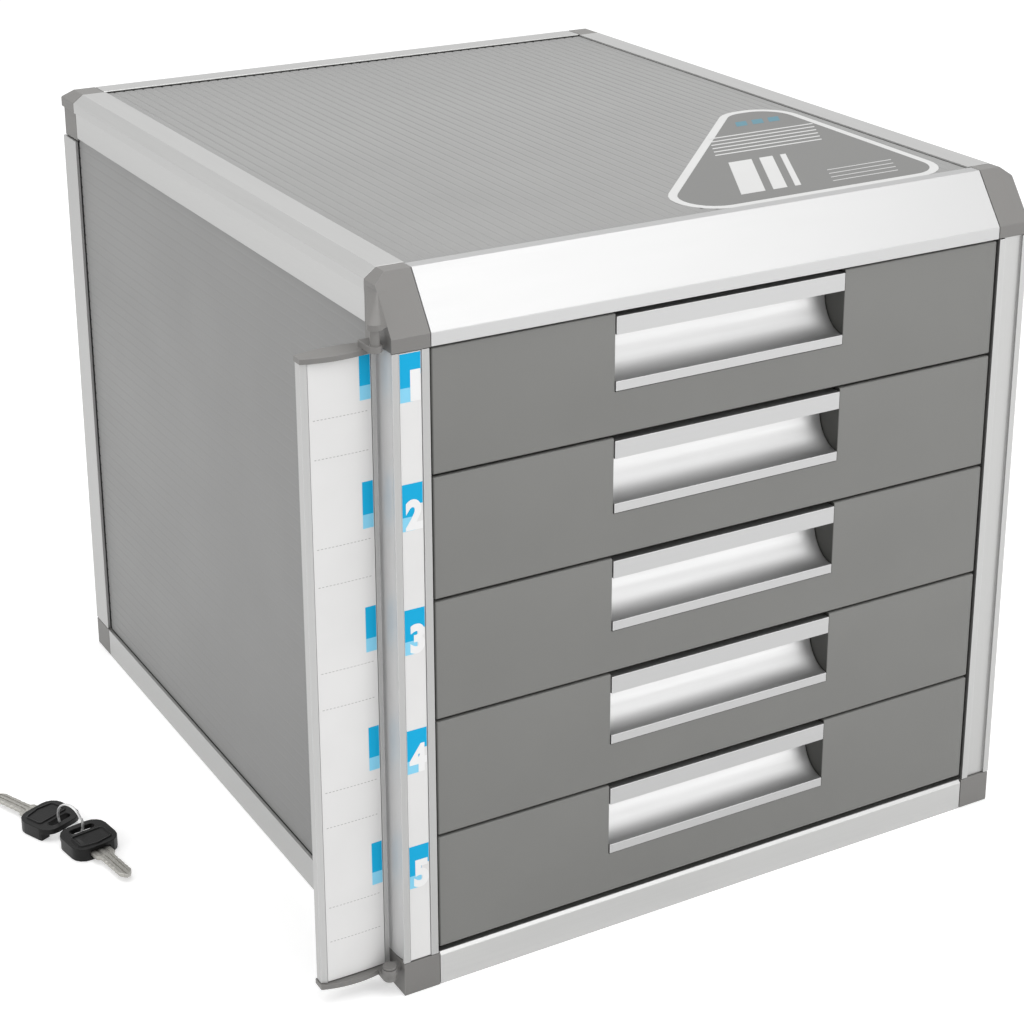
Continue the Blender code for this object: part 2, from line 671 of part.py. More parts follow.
def top_boss(low):
    """A lug beside the left front top block: the hull round its two circles and a strip of the block's side.

    The strip starts behind the slanted front edge and runs up it, so the lug tapers into the block.
    """
    high = low + TOP_BOSS_HEIGHT
    circles = ((BOSS_RADIUS, low), (BOSS_RADIUS, high - TOP_BOSS_CROWN), (BOSS_RADIUS / 2, high))
    ring = []
    for step in range(ROUND_STEPS):
        turn = math.tau * step / ROUND_STEPS
        for radius, height in circles:
            ring.append((HINGE_X + radius * math.cos(turn), HINGE_Y + radius * math.sin(turn), height))
    root = -HALF_WIDTH + BOSS_ROOT
    strip = []
    for height in (low, CABINET_HEIGHT - GUSSET_HEAD_DROP):
        front = FRONT_Y + slant_depth(CABINET_HEIGHT - height) + GUSSET_INSET
        strip += [(root, front, height), (root, front + GUSSET_DEPTH, height)]
    return hull(ring + strip)


def make_front_top_block(side, word):
    profile = to_front_and_height([
        (0.0, HEADER_HEIGHT), (0.0, HEADER_HEIGHT - HEADER_LIP), (HEADER_SLANT_RUN, 0.0),
        (FRONT_BLOCK_DEPTH, 0.0), (FRONT_BLOCK_DEPTH, HEADER_HEIGHT),
    ])
    outer, inner = sorted_pair(side * HALF_WIDTH, side * (HALF_WIDTH - BLOCK_WIDTH))
    body = prism(profile, "X", outer, inner)
    view = drop_to_height(on_side(side, side_profile(0.0, HEADER_HEIGHT)))
    keep_common(body, prism(view, "Y", FRONT_Y, FRONT_Y + FRONT_BLOCK_DEPTH))
    low_u, high_u, low_v, high_v = shrink(FRONT_POST_HOLE)
    post = tongue_along_z(
        (side_x(side, low_u), side_x(side, high_u)), (FRONT_Y + low_v, FRONT_Y + high_v), HEADER_BOTTOM, -1)
    low_u, high_u, low_w, high_w = shrink(CROWN_HOLE)
    rail = tongue_along_y(
        (side_x(side, low_u), side_x(side, high_u)), FRONT_Y + FRONT_BLOCK_DEPTH, 1,
        (CABINET_HEIGHT - high_w, CABINET_HEIGHT - low_w))
    tongue_high = HEADER_HEIGHT - RAIL_WALL - FIT_GAP
    tongue_low = (HEADER_HEIGHT + HEADER_BACK_FOOT) / 2
    header_front = FRONT_Y + slant_depth(tongue_low) + HEADER_WALL_RUN + FIT_GAP
    header_back = FRONT_Y + HEADER_SOLE - RAIL_WALL - FIT_GAP
    header = tongue_along_x(
        side, (header_front, header_back), (CABINET_HEIGHT - tongue_high, CABINET_HEIGHT - tongue_low))
    join(body, post, rail, header)
    if side < 0:
        low = TOP_EAR_TOP + TOP_PIN_SHOW
        join(body, top_boss(low))
        cut(body, upright_cylinder(
            HINGE_X, HINGE_Y, PIN_RADIUS + PIN_CLEARANCE, low - CUT_OVERRUN, low + TOP_PIN_ENTRY + FIT_GAP))
    place(body, "corner_top_front_" + word, CORNER_GREY)


def make_back_top_block(side, word):
    back_profile = [
        (CROWN_STEP, BACK_BLOCK_HEIGHT), (CROWN_STEP, CROWN_BAND), (0.0, CROWN_BAND),
        (0.0, CROWN_CHAMFER_DROP), (CROWN_CHAMFER_RUN, 0.0), (BACK_BLOCK_DEPTH, 0.0),
        (BACK_BLOCK_DEPTH, BACK_BLOCK_HEIGHT),
    ]
    side_view = back_profile[:5] + [(BLOCK_WIDTH, 0.0), (BLOCK_WIDTH, BACK_BLOCK_HEIGHT)]
    outer, inner = sorted_pair(side * HALF_WIDTH, side * (HALF_WIDTH - BLOCK_WIDTH))
    body = prism(from_back(drop_to_height(back_profile)), "X", outer, inner)
    keep_common(body, prism(
        on_side(side, drop_to_height(side_view)), "Y", BACK_Y - BACK_BLOCK_DEPTH, BACK_Y))
    low_u, high_u, low_v, high_v = shrink(BACK_POST_HOLE)
    post = tongue_along_z(
        (side_x(side, low_u), side_x(side, high_u)), (BACK_Y - high_v, BACK_Y - low_v),
        CABINET_HEIGHT - BACK_BLOCK_HEIGHT, -1)
    low_u, high_u, low_w, high_w = shrink(CROWN_HOLE)
    heights = (CABINET_HEIGHT - high_w, CABINET_HEIGHT - low_w)
    side_rail = tongue_along_y(
        (side_x(side, low_u), side_x(side, high_u)), BACK_Y - BACK_BLOCK_DEPTH, -1, heights)
    back_rail = tongue_along_x(side, (BACK_Y - high_u, BACK_Y - low_u), heights)
    join(body, post, side_rail, back_rail)
    place(body, "corner_top_back_" + word, CORNER_GREY)


def make_front_base_block(side, word):
    low_x, high_x = sorted_pair(side * HALF_WIDTH, side * (HALF_WIDTH - BLOCK_WIDTH))
    body = block((low_x, FRONT_Y, 0.0), (high_x, FRONT_Y + BACK_BLOCK_DEPTH, BASE_RAIL_HEIGHT))
    low_u, high_u, low_v, high_v = shrink(FRONT_POST_HOLE)
    post = tongue_along_z(
        (side_x(side, low_u), side_x(side, high_u)), (FRONT_Y + low_v, FRONT_Y + high_v), BASE_RAIL_HEIGHT, 1)
    low_v, high_v, low_z, high_z = shrink(FRONT_BASE_HOLE)
    front_rail = tongue_along_x(side, (FRONT_Y + low_v, FRONT_Y + high_v), (low_z, high_z))
    low_u, high_u, low_z, high_z = shrink(SIDE_BASE_HOLE)
    side_rail = tongue_along_y(
        (side_x(side, low_u), side_x(side, high_u)), FRONT_Y + BACK_BLOCK_DEPTH, 1, (low_z, high_z))
    join(body, post, front_rail, side_rail)
    if side < 0:
        join(body, base_boss(FLAP_BAR_FOOT, FLAP_BAR_FOOT + BOTTOM_BOSS_HEIGHT))
        cut(body, upright_cylinder(
            HINGE_X, HINGE_Y, PIN_RADIUS + PIN_CLEARANCE, FLAP_BAR_FOOT - CUT_OVERRUN, BASE_RAIL_HEIGHT))
    place(body, "corner_base_front_" + word, CORNER_GREY)


def make_back_base_block(side, word):
    low_x, high_x = sorted_pair(side * HALF_WIDTH, side * (HALF_WIDTH - BLOCK_WIDTH))
    body = block((low_x, BACK_Y - BACK_BLOCK_DEPTH, 0.0), (high_x, BACK_Y, BASE_RAIL_HEIGHT))
    low_u, high_u, low_v, high_v = shrink(BACK_POST_HOLE)
    post = tongue_along_z(
        (side_x(side, low_u), side_x(side, high_u)), (BACK_Y - high_v, BACK_Y - low_v), BASE_RAIL_HEIGHT, 1)
    low_u, high_u, low_z, high_z = shrink(SIDE_BASE_HOLE)
    side_rail = tongue_along_y(
        (side_x(side, low_u), side_x(side, high_u)), BACK_Y - BACK_BLOCK_DEPTH, -1, (low_z, high_z))
    back_rail = tongue_along_x(side, (BACK_Y - high_u, BACK_Y - low_u), (low_z, high_z))
    join(body, post, side_rail, back_rail)
    place(body, "corner_base_back_" + word, CORNER_GREY)


def make_corner_blocks():
    for side, word in ((-1, "left"), (1, "right")):
        make_front_top_block(side, word)
        make_back_top_block(side, word)
        make_front_base_block(side, word)
        make_back_base_block(side, word)


# Panels
def notched(low_a, high_a, low_b, high_b, corners):
    """A rectangle whose four corners are cut out, each down to its own inner point.

    corners holds the inner points of the low-low, high-low, high-high and low-high notches.
    """
    (ll_a, ll_b), (hl_a, hl_b), (hh_a, hh_b), (lh_a, lh_b) = corners
    return [
        (ll_a, low_b), (hl_a, low_b), (hl_a, hl_b), (high_a, hl_b), (high_a, hh_b), (hh_a, hh_b),
        (hh_a, high_b), (lh_a, high_b), (lh_a, lh_b), (low_a, lh_b), (low_a, ll_b), (ll_a, ll_b),
    ]


def make_side_panels():
    low_y = FRONT_Y + POST_DEPTH - GROOVE_DEPTH + PANEL_EDGE_GAP
    high_y = BACK_Y - POST_DEPTH + GROOVE_DEPTH - PANEL_EDGE_GAP
    low_z = BASE_RAIL_HEIGHT - GROOVE_DEPTH + PANEL_EDGE_GAP
    high_z = CABINET_HEIGHT - CROWN_RAIL_HEIGHT + GROOVE_DEPTH - PANEL_EDGE_GAP
    front_base = (FRONT_Y + BACK_BLOCK_DEPTH + FIT_GAP, BASE_RAIL_HEIGHT + FIT_GAP)
    back_base = (BACK_Y - BACK_BLOCK_DEPTH - FIT_GAP, BASE_RAIL_HEIGHT + FIT_GAP)
    back_top = (BACK_Y - BACK_BLOCK_DEPTH - FIT_GAP, CABINET_HEIGHT - BACK_BLOCK_HEIGHT - FIT_GAP)
    front_top = (FRONT_Y + FRONT_BLOCK_DEPTH + FIT_GAP, HEADER_BOTTOM - FIT_GAP)
    outline = notched(low_y, high_y, low_z, high_z, (front_base, back_base, back_top, front_top))
    for side, word in ((-1, "left"), (1, "right")):
        low_x, high_x = sorted_pair(side_x(side, PANEL_OUTER), side_x(side, PANEL_INNER))
        place(prism(outline, "X", low_x, high_x), "panel_" + word, PANEL_GREY)


def make_back_panel():
    edge = HALF_WIDTH - POST_WIDTH + GROOVE_DEPTH - PANEL_EDGE_GAP
    notch = HALF_WIDTH - BLOCK_WIDTH - FIT_GAP
    low_z = BASE_RAIL_HEIGHT - GROOVE_DEPTH + PANEL_EDGE_GAP
    high_z = CABINET_HEIGHT - CROWN_RAIL_HEIGHT + GROOVE_DEPTH - PANEL_EDGE_GAP
    base = BASE_RAIL_HEIGHT + FIT_GAP
    top = CABINET_HEIGHT - BACK_BLOCK_HEIGHT - FIT_GAP
    corners = ((-notch, base), (notch, base), (notch, top), (-notch, top))
    outline = notched(-edge, edge, low_z, high_z, corners)
    place(prism(outline, "Y", BACK_Y - PANEL_INNER, BACK_Y - PANEL_OUTER), "panel_back", PANEL_GREY)


def make_flat_panels():
    """The top and the base panel, which lie in grooves along the inner faces of the rails."""
    notch = HALF_WIDTH - BLOCK_WIDTH - FIT_GAP
    edge = HALF_WIDTH - CROWN_RAIL_WIDTH + TOP_GROOVE_DEPTH - PANEL_EDGE_GAP
    front = FRONT_Y + HEADER_DEPTH - HEADER_GROOVE_DEPTH + PANEL_EDGE_GAP
    back = BACK_Y - CROWN_RAIL_WIDTH + TOP_GROOVE_DEPTH - PANEL_EDGE_GAP
    front_notch = FRONT_Y + FRONT_BLOCK_DEPTH + FIT_GAP
    back_notch = BACK_Y - BACK_BLOCK_DEPTH - FIT_GAP
    corners = ((-notch, front_notch), (notch, front_notch), (notch, back_notch), (-notch, back_notch))
    outline = notched(-edge, edge, front, back, corners)
    top = CABINET_HEIGHT - TOP_PANEL_DROP
    place(prism(outline, "Z", top - PANEL_THICKNESS, top), "panel_top", PANEL_GREY)
    edge = HALF_WIDTH - BASE_RAIL_DEPTH + TOP_GROOVE_DEPTH - PANEL_EDGE_GAP
    front = FRONT_Y + BASE_RAIL_DEPTH - TOP_GROOVE_DEPTH + PANEL_EDGE_GAP
    back = BACK_Y - BASE_RAIL_DEPTH + TOP_GROOVE_DEPTH - PANEL_EDGE_GAP
    front_notch = FRONT_Y + BACK_BLOCK_DEPTH + FIT_GAP
    corners = ((-notch, front_notch), (notch, front_notch), (notch, back_notch), (-notch, back_notch))
    outline = notched(-edge, edge, front, back, corners)
    base = prism(outline, "Z", BASE_PANEL_HEIGHT, BASE_PANEL_HEIGHT + PANEL_THICKNESS)
    place(base, "panel_base", PANEL_GREY)


# Drawer heights, shared by the drawers and the ledges that carry them
def front_low(index):
    """Height of the lower edge of a drawer front, counted from 1 at the top."""
    return LOWEST_FRONT + (DRAWER_COUNT - index) * DRAWER_PITCH


def make_runners():
    """Two moulded side guides: an upright plate, ledges under the trays and ribs out to the side panel."""
    inner = TRAY_HALF_WIDTH + RUNNER_CLEARANCE
    outer = inner + RUNNER_PLATE
    ledge_tip = TRAY_HALF_WIDTH + RUNNER_CLEARANCE - LEDGE_REACH
    rib_end = HALF_WIDTH - PANEL_INNER - FIT_GAP
    low = BASE_PANEL_HEIGHT + PANEL_THICKNESS + FIT_GAP
    high = CABINET_HEIGHT - TOP_PANEL_DROP - PANEL_THICKNESS - FIT_GAP
    ledges = [front_low(index) + TRAY_LIFT - FIT_GAP for index in range(DRAWER_COUNT, 0, -1)]
    inner_side = [(inner, low)]
    outer_side = [(outer, low)]
    for high_edge in ledges:
        low_edge = high_edge - LEDGE_THICKNESS
        inner_side += [(inner, low_edge), (ledge_tip, low_edge), (ledge_tip, high_edge), (inner, high_edge)]
    for high_edge in ledges + [CABINET_HEIGHT - RUNNER_TOP_RIB_DROP]:
        low_edge = high_edge - LEDGE_THICKNESS
        outer_side += [(outer, low_edge), (rib_end, low_edge), (rib_end, high_edge), (outer, high_edge)]
    inner_side.append((inner, high))
    outer_side.append((outer, high))
    low_y = FRONT_Y + FRONT_BLOCK_DEPTH + FIT_GAP
    high_y = BACK_Y - BACK_BLOCK_DEPTH - FIT_GAP
    for side, word in ((-1, "left"), (1, "right")):
        outline = [(side * across, height) for across, height in inner_side + outer_side[::-1]]
        place(prism(outline, "Y", low_y, high_y), "runner_" + word, RUNNER_GREY)


# Drawers
POCKET_HALF_WIDTH = PULL_WIDTH / 2 + FIT_GAP
POCKET_DEPTH = SCOOP_DEPTH + PULL_WALL + FIT_GAP
POCKET_DROP = PULL_DROP + PULL_HEIGHT + FIT_GAP


def drawer_front_mesh():
    """A front plate at drawer height zero, with a walled pocket behind it for the pull, open at the top."""
    plate = block(
        (-FRONT_HALF_WIDTH, FRONT_FACE_Y, 0.0),
        (FRONT_HALF_WIDTH, FRONT_FACE_Y + FRONT_THICKNESS, FRONT_HEIGHT))
    rounding = plate.modifiers.new("rounded_edges", "BEVEL")
    rounding.width = FRONT_ROUNDING
    rounding.segments = 2
    bpy.context.view_layer.update()
    rounded = bpy.data.meshes.new_from_object(plate.evaluated_get(bpy.context.evaluated_depsgraph_get()))
    plate.modifiers.remove(rounding)
    plate.data = rounded
    wall_half = POCKET_HALF_WIDTH + POCKET_WALL
    pocket = block(
        (-wall_half, FRONT_FACE_Y + FRONT_THICKNESS / 2, FRONT_HEIGHT - POCKET_DROP - POCKET_WALL),
        (wall_half, FRONT_FACE_Y + POCKET_DEPTH + POCKET_WALL, FRONT_HEIGHT - PULL_DROP))
    cavity = block(
        (-POCKET_HALF_WIDTH, FRONT_FACE_Y - CUT_OVERRUN, FRONT_HEIGHT - POCKET_DROP),
        (POCKET_HALF_WIDTH, FRONT_FACE_Y + POCKET_DEPTH, FRONT_HEIGHT + CUT_OVERRUN))
    return cut(join(plate, pocket), cavity)


def tray_solid():
    """An open tray at drawer height zero, whose front wall is cut away round the pull's pocket."""
    low = TRAY_LIFT
    high = TRAY_LIFT + TRAY_HEIGHT
    back = TRAY_BACK_Y
    tray = block((-TRAY_HALF_WIDTH, TRAY_FRONT_Y, low), (TRAY_HALF_WIDTH, back, high))
    inside = block(
        (-TRAY_HALF_WIDTH + TRAY_WALL, TRAY_FRONT_Y + TRAY_WALL, low + TRAY_WALL),
        (TRAY_HALF_WIDTH - TRAY_WALL, back - TRAY_WALL, high + CUT_OVERRUN))
    notch_half = POCKET_HALF_WIDTH + POCKET_WALL + POCKET_GAP
    notch = block(
        (-notch_half, TRAY_FRONT_Y - CUT_OVERRUN, FRONT_HEIGHT - POCKET_DROP - POCKET_WALL - POCKET_GAP),
        (notch_half, TRAY_FRONT_Y + TRAY_WALL + CUT_OVERRUN, high + CUT_OVERRUN))
    return cut(tray, inside, notch)


def pull_section():
    """Section of the pull as (depth from its own face, depth below the front's top edge).

    From the top lip it goes back over the ceiling and down behind the scoop, which is a quarter ellipse,
    to the bottom lip, and returns along the scoop's inner face.
    """
    top = PULL_DROP
    bottom = PULL_DROP + PULL_HEIGHT
    scoop_foot = bottom - PULL_BOTTOM_LIP
    centre = scoop_foot - SCOOP_RISE
    points = [(0.0, top + PULL_TOP_LIP), (0.0, top), (SCOOP_DEPTH + PULL_WALL, top)]
    lip_turn = math.asin(PULL_WALL / (SCOOP_DEPTH + PULL_WALL))
    for step in range(SCOOP_STEPS + 1):
        turn = math.pi / 2 + (lip_turn - math.pi / 2) * step / SCOOP_STEPS
        points.append((
            (SCOOP_DEPTH + PULL_WALL) * math.sin(turn), centre + (SCOOP_RISE + PULL_WALL) * math.cos(turn)))
    points += [(PULL_WALL, bottom), (0.0, bottom)]
    for step in range(SCOOP_STEPS + 1):
        turn = math.pi / 2 * step / SCOOP_STEPS
        points.append((SCOOP_DEPTH * math.sin(turn), centre + SCOOP_RISE * math.cos(turn)))
    points += [(SCOOP_DEPTH, top + PULL_WALL), (PULL_WALL, top + PULL_WALL), (PULL_WALL, top + PULL_TOP_LIP)]
    return points


def pull_solid():
    face = FRONT_FACE_Y - PULL_PROUD
    outline = [(face + depth, FRONT_HEIGHT - drop) for depth, drop in pull_section()]
    return smooth_round_faces(prism(outline, "X", -PULL_WIDTH / 2, PULL_WIDTH / 2), math.radians(20))


def repeat_for_drawers(solid, stem, look):
    """One object for each drawer, all sharing the mesh of the first."""
    mesh = solid.data
    mesh.name = stem
    mesh.materials.clear()
    mesh.materials.append(finish_material(look))
    for index in range(1, DRAWER_COUNT + 1):
        copy = new_object(f"{stem}_{index}", mesh, MODEL)
        copy.location = (0.0, 0.0, front_low(index))
    bpy.data.objects.remove(solid, do_unlink=True)


def make_drawers():
    repeat_for_drawers(drawer_front_mesh(), "drawer_front", DRAWER_GREY)
    repeat_for_drawers(tray_solid(), "drawer_tray", RUNNER_GREY)
    repeat_for_drawers(pull_solid(), "drawer_pull", ALUMINIUM)


def make_number_strip():
    """The card with the drawer numbers, slid into the channel of the left front post."""
    low_x = side_x(-1, POST_LIP_OUTER + FIT_GAP)
    high_x = side_x(-1, POST_WIDTH - POST_LIP_INNER - FIT_GAP)
    back = FRONT_Y + LABEL_CHANNEL_DEPTH - FIT_GAP
    low_z = BASE_RAIL_HEIGHT + FIT_GAP * 2
    strip = block((low_x, back - STRIP_THICKNESS, low_z), (high_x, back, HEADER_BOTTOM - FIT_GAP * 2))
    place(strip, "number_strip", CARD_WHITE)


# Index flap. Its outlines are (reach to the left, depth to the back) from the hinge line.
FLAP_MIDDLE = (FLAP_INNER_REACH + FLAP_OUTER_REACH) / 2
FLAP_HALF = (FLAP_OUTER_REACH - FLAP_INNER_REACH) / 2


def face_depth(reach):
    """Depth of the crowned label face: a parabola that is nearest to the viewer in its middle."""
    return FLAP_FACE_DEPTH + FLAP_FACE_CROWN * ((reach - FLAP_MIDDLE) / FLAP_HALF) ** 2


def back_depth(reach):
    """Depth of the crowned outer face of the flap."""
    return FLAP_FACE_DEPTH + FLAP_THICKNESS - FLAP_BACK_CROWN * ((reach - FLAP_MIDDLE) / FLAP_HALF) ** 2


def reaches(low, high):
    return [low + (high - low) * step / FLAP_ARC_STEPS for step in range(FLAP_ARC_STEPS + 1)]


def flap_places(points):
    """World X and Y of outline points, with the flap standing open along the front's plane."""
    return [(HINGE_X - reach, HINGE_Y + depth) for reach, depth in points]


def cap_outline():
    """Outline of a cap's plate: the bar's, a little proud all round and bulging over the label face."""
    low = FLAP_INNER_REACH - FLAP_CAP_PROUD
    high = FLAP_OUTER_REACH + FLAP_CAP_PROUD
    front = []
    for reach in reaches(low, high):
        bulge = FLAP_CAP_BULGE * (1 - ((reach - FLAP_MIDDLE) / FLAP_HALF) ** 2)
        front.append((reach, face_depth(reach) - FLAP_CAP_PROUD - bulge))
    back = [(reach, back_depth(reach) + FLAP_CAP_PROUD) for reach in reaches(high, low)]
    return front + back


CARD_LOW = FLAP_INNER_REACH + FLAP_INNER_LIP
CARD_HIGH = FLAP_OUTER_REACH - FLAP_OUTER_LIP


def bar_outline():
    """The bar's outline, with the index card's recess in its label face and a lip that slopes away."""
    recess = [(reach, face_depth(reach) + FLAP_CARD_RECESS) for reach in reaches(CARD_LOW, CARD_HIGH)]
    front = [(FLAP_INNER_REACH, face_depth(FLAP_INNER_REACH)), (CARD_LOW, face_depth(CARD_LOW)), *recess]
    front.append((CARD_HIGH, face_depth(CARD_HIGH)))
    front.append((FLAP_OUTER_REACH, face_depth(FLAP_OUTER_REACH) + FLAP_LIP_SLOPE))
    back = [(reach, back_depth(reach)) for reach in reaches(FLAP_OUTER_REACH, FLAP_INNER_REACH)]
    return front + back


def hollow_outline(grow):
    """The hollow of the bar, or the caps' plugs where it is drawn in by a negative growth."""
    low = FLAP_INNER_REACH + FLAP_WALL - grow
    high = FLAP_OUTER_REACH - FLAP_WALL + grow
    front_skin = FLAP_CARD_RECESS + FLAP_WALL - grow
    front = [(reach, face_depth(reach) + front_skin) for reach in reaches(low, high)]
    back = [(reach, back_depth(reach) - FLAP_WALL + grow) for reach in reaches(high, low)]
    return front + back


def lock_x():
    return HINGE_X - LOCK_REACH


def make_flap_bar():
    bar = prism(
        flap_places(bar_outline()), "Z", FLAP_BAR_FOOT, FLAP_BAR_HEAD, [flap_places(hollow_outline(0.0))])
    outer = HINGE_Y + FLAP_FACE_DEPTH + FLAP_THICKNESS
    cut(bar, cross_cylinder(
        lock_x(), LOCK_HEIGHT, LOCK_BARREL_RADIUS + FIT_GAP,
        outer - FLAP_WALL - CUT_OVERRUN, outer + CUT_OVERRUN))
    place(bar, "flap_bar", ALUMINIUM)


def ear_outline():
    """An ear in plan: round about the hinge line, and straight from there back into the cap."""
    points = [(EAR_RADIUS, EAR_ROOT_DEPTH), (-EAR_RADIUS, EAR_ROOT_DEPTH)]
    for step in range(ROUND_STEPS // 2 + 1):
        turn = math.pi + math.pi * step / (ROUND_STEPS // 2)
        points.append((EAR_RADIUS * math.cos(turn), EAR_RADIUS * math.sin(turn)))
    return points


def flap_cap(low, high, plug_end):
    """The plate over one end of the bar, with its plug in the bar's hollow."""
    plate = prism(flap_places(cap_outline()), "Z", low, high)
    middle = (low + high) / 2
    plug_low, plug_high = sorted_pair(middle, plug_end)
    return join(plate, prism(flap_places(hollow_outline(-FIT_GAP)), "Z", plug_low, plug_high))


def hinge_cylinder(radius, low, high):
    return upright_cylinder(HINGE_X, HINGE_Y, radius, low, high)


def make_top_cap():
    """The ear stands on a pedestal above the plate, and its pin reaches up into the top boss."""
    low = FLAP_BAR_HEAD + FIT_GAP
    high = FLAP_BAR_HEAD + FLAP_CAP_THICKNESS
    cap = flap_cap(low, high, low - FLAP_PLUG_LENGTH)
    pedestal = block(
        (HINGE_X - EAR_RADIUS, HINGE_Y + PEDESTAL_DEPTH, (low + high) / 2),
        (HINGE_X + EAR_RADIUS, HINGE_Y + EAR_ROOT_DEPTH, (TOP_EAR_FOOT + TOP_EAR_TOP) / 2))
    ear = prism(flap_places(ear_outline()), "Z", TOP_EAR_FOOT, TOP_EAR_TOP)
    pin_top = TOP_EAR_TOP + TOP_PIN_SHOW + TOP_PIN_ENTRY
    pin = hinge_cylinder(PIN_RADIUS, (TOP_EAR_FOOT + TOP_EAR_TOP) / 2, pin_top)
    place(join(cap, pedestal, ear, pin), "flap_cap_top", CORNER_GREY)


def make_bottom_cap():
    """The ear is level with the plate. Its pin passes the bottom boss and hangs the flap by a snap head."""
    high = FLAP_BAR_FOOT - FIT_GAP
    low = FLAP_BAR_FOOT - FLAP_CAP_THICKNESS
    cap = flap_cap(low, high, high + FLAP_PLUG_LENGTH)
    ear = prism(flap_places(ear_outline()), "Z", low, high)
    head_foot = FLAP_BAR_FOOT + BOTTOM_BOSS_HEIGHT + FIT_GAP
    pin = hinge_cylinder(PIN_RADIUS, (low + high) / 2, head_foot + PIN_HEAD_HEIGHT / 2)
    head = hinge_cylinder(PIN_HEAD_RADIUS, head_foot, head_foot + PIN_HEAD_HEIGHT)
    place(join(cap, ear, pin, head), "flap_cap_bottom", CORNER_GREY)


def make_index_card():
    """The printed card in the recess of the flap's label face."""
    low = CARD_LOW + FIT_GAP
    high = CARD_HIGH - FIT_GAP
    floor = FLAP_CARD_RECESS - CARD_GAP
    back = [(reach, face_depth(reach) + floor) for reach in reaches(low, high)]
    front = [(reach, face_depth(reach) + floor - CARD_THICKNESS) for reach in reaches(high, low)]
    card = prism(flap_places(back + front), "Z", FLAP_BAR_FOOT + FIT_GAP, FLAP_BAR_HEAD - FIT_GAP)
    place(card, "index_card", CARD_WHITE)


# Cam lock
def make_lock():
    outer = HINGE_Y + FLAP_FACE_DEPTH + FLAP_THICKNESS + FIT_GAP
    barrel_end = outer - LOCK_BARREL_LENGTH
    face = outer + LOCK_FLANGE_THICKNESS
    housing = cross_cylinder(lock_x(), LOCK_HEIGHT, LOCK_FLANGE_RADIUS, outer, face)
    join(housing, cross_cylinder(lock_x(), LOCK_HEIGHT, LOCK_BARREL_RADIUS, barrel_end, outer + FIT_GAP))
    bore = LOCK_PLUG_RADIUS + LOCK_PLUG_CLEARANCE
    cut(housing, cross_cylinder(lock_x(), LOCK_HEIGHT, bore, barrel_end - CUT_OVERRUN, face + CUT_OVERRUN))
    place(smooth_round_faces(housing), "lock_housing", LOCK_CHROME)
    plug = cross_cylinder(lock_x(), LOCK_HEIGHT, LOCK_PLUG_RADIUS, barrel_end, face + LOCK_PLUG_PROUD)
    cut(plug, block(
        (lock_x() - KEYWAY_WIDTH / 2, face + LOCK_PLUG_PROUD - KEYWAY_DEPTH, LOCK_HEIGHT - KEYWAY_HEIGHT / 2),
        (lock_x() + KEYWAY_WIDTH / 2, face + CUT_OVERRUN, LOCK_HEIGHT + KEYWAY_HEIGHT / 2)))
    place(smooth_round_faces(plug), "lock_plug", LOCK_CHROME)
    cam_high = barrel_end - FIT_GAP
    cam = cross_cylinder(lock_x(), LOCK_HEIGHT, LOCK_CAM_WIDTH / 2, cam_high - LOCK_CAM_THICKNESS, cam_high)
    join(cam, block(
        (lock_x() - LOCK_CAM_WIDTH / 2, cam_high - LOCK_CAM_THICKNESS, LOCK_HEIGHT - LOCK_CAM_LENGTH),
        (lock_x() + LOCK_CAM_WIDTH / 2, cam_high, LOCK_HEIGHT)))
    place(cam, "lock_cam", KEY_STEEL)


# Keys. Each is drawn with its blade along +X and the middle of its head at the origin, then laid in place.
def round_cornered(half_length, half_width, radius, steps=4):
    """A rectangle with round corners, as a list of points."""
    points = []
    for quarter, (sign_x, sign_y) in enumerate(((1, 1), (-1, 1), (-1, -1), (1, -1))):
        for step in range(steps + 1):
            turn = math.pi / 2 * (quarter + step / steps)
            points.append((
                sign_x * (half_length - radius) + radius * math.cos(turn),
                sign_y * (half_width - radius) + radius * math.sin(turn)))
    return points


def key_place(x, y, turn, height):
    return Matrix.Translation((x, y, height)) @ Matrix.Rotation(turn, 4, "Z")


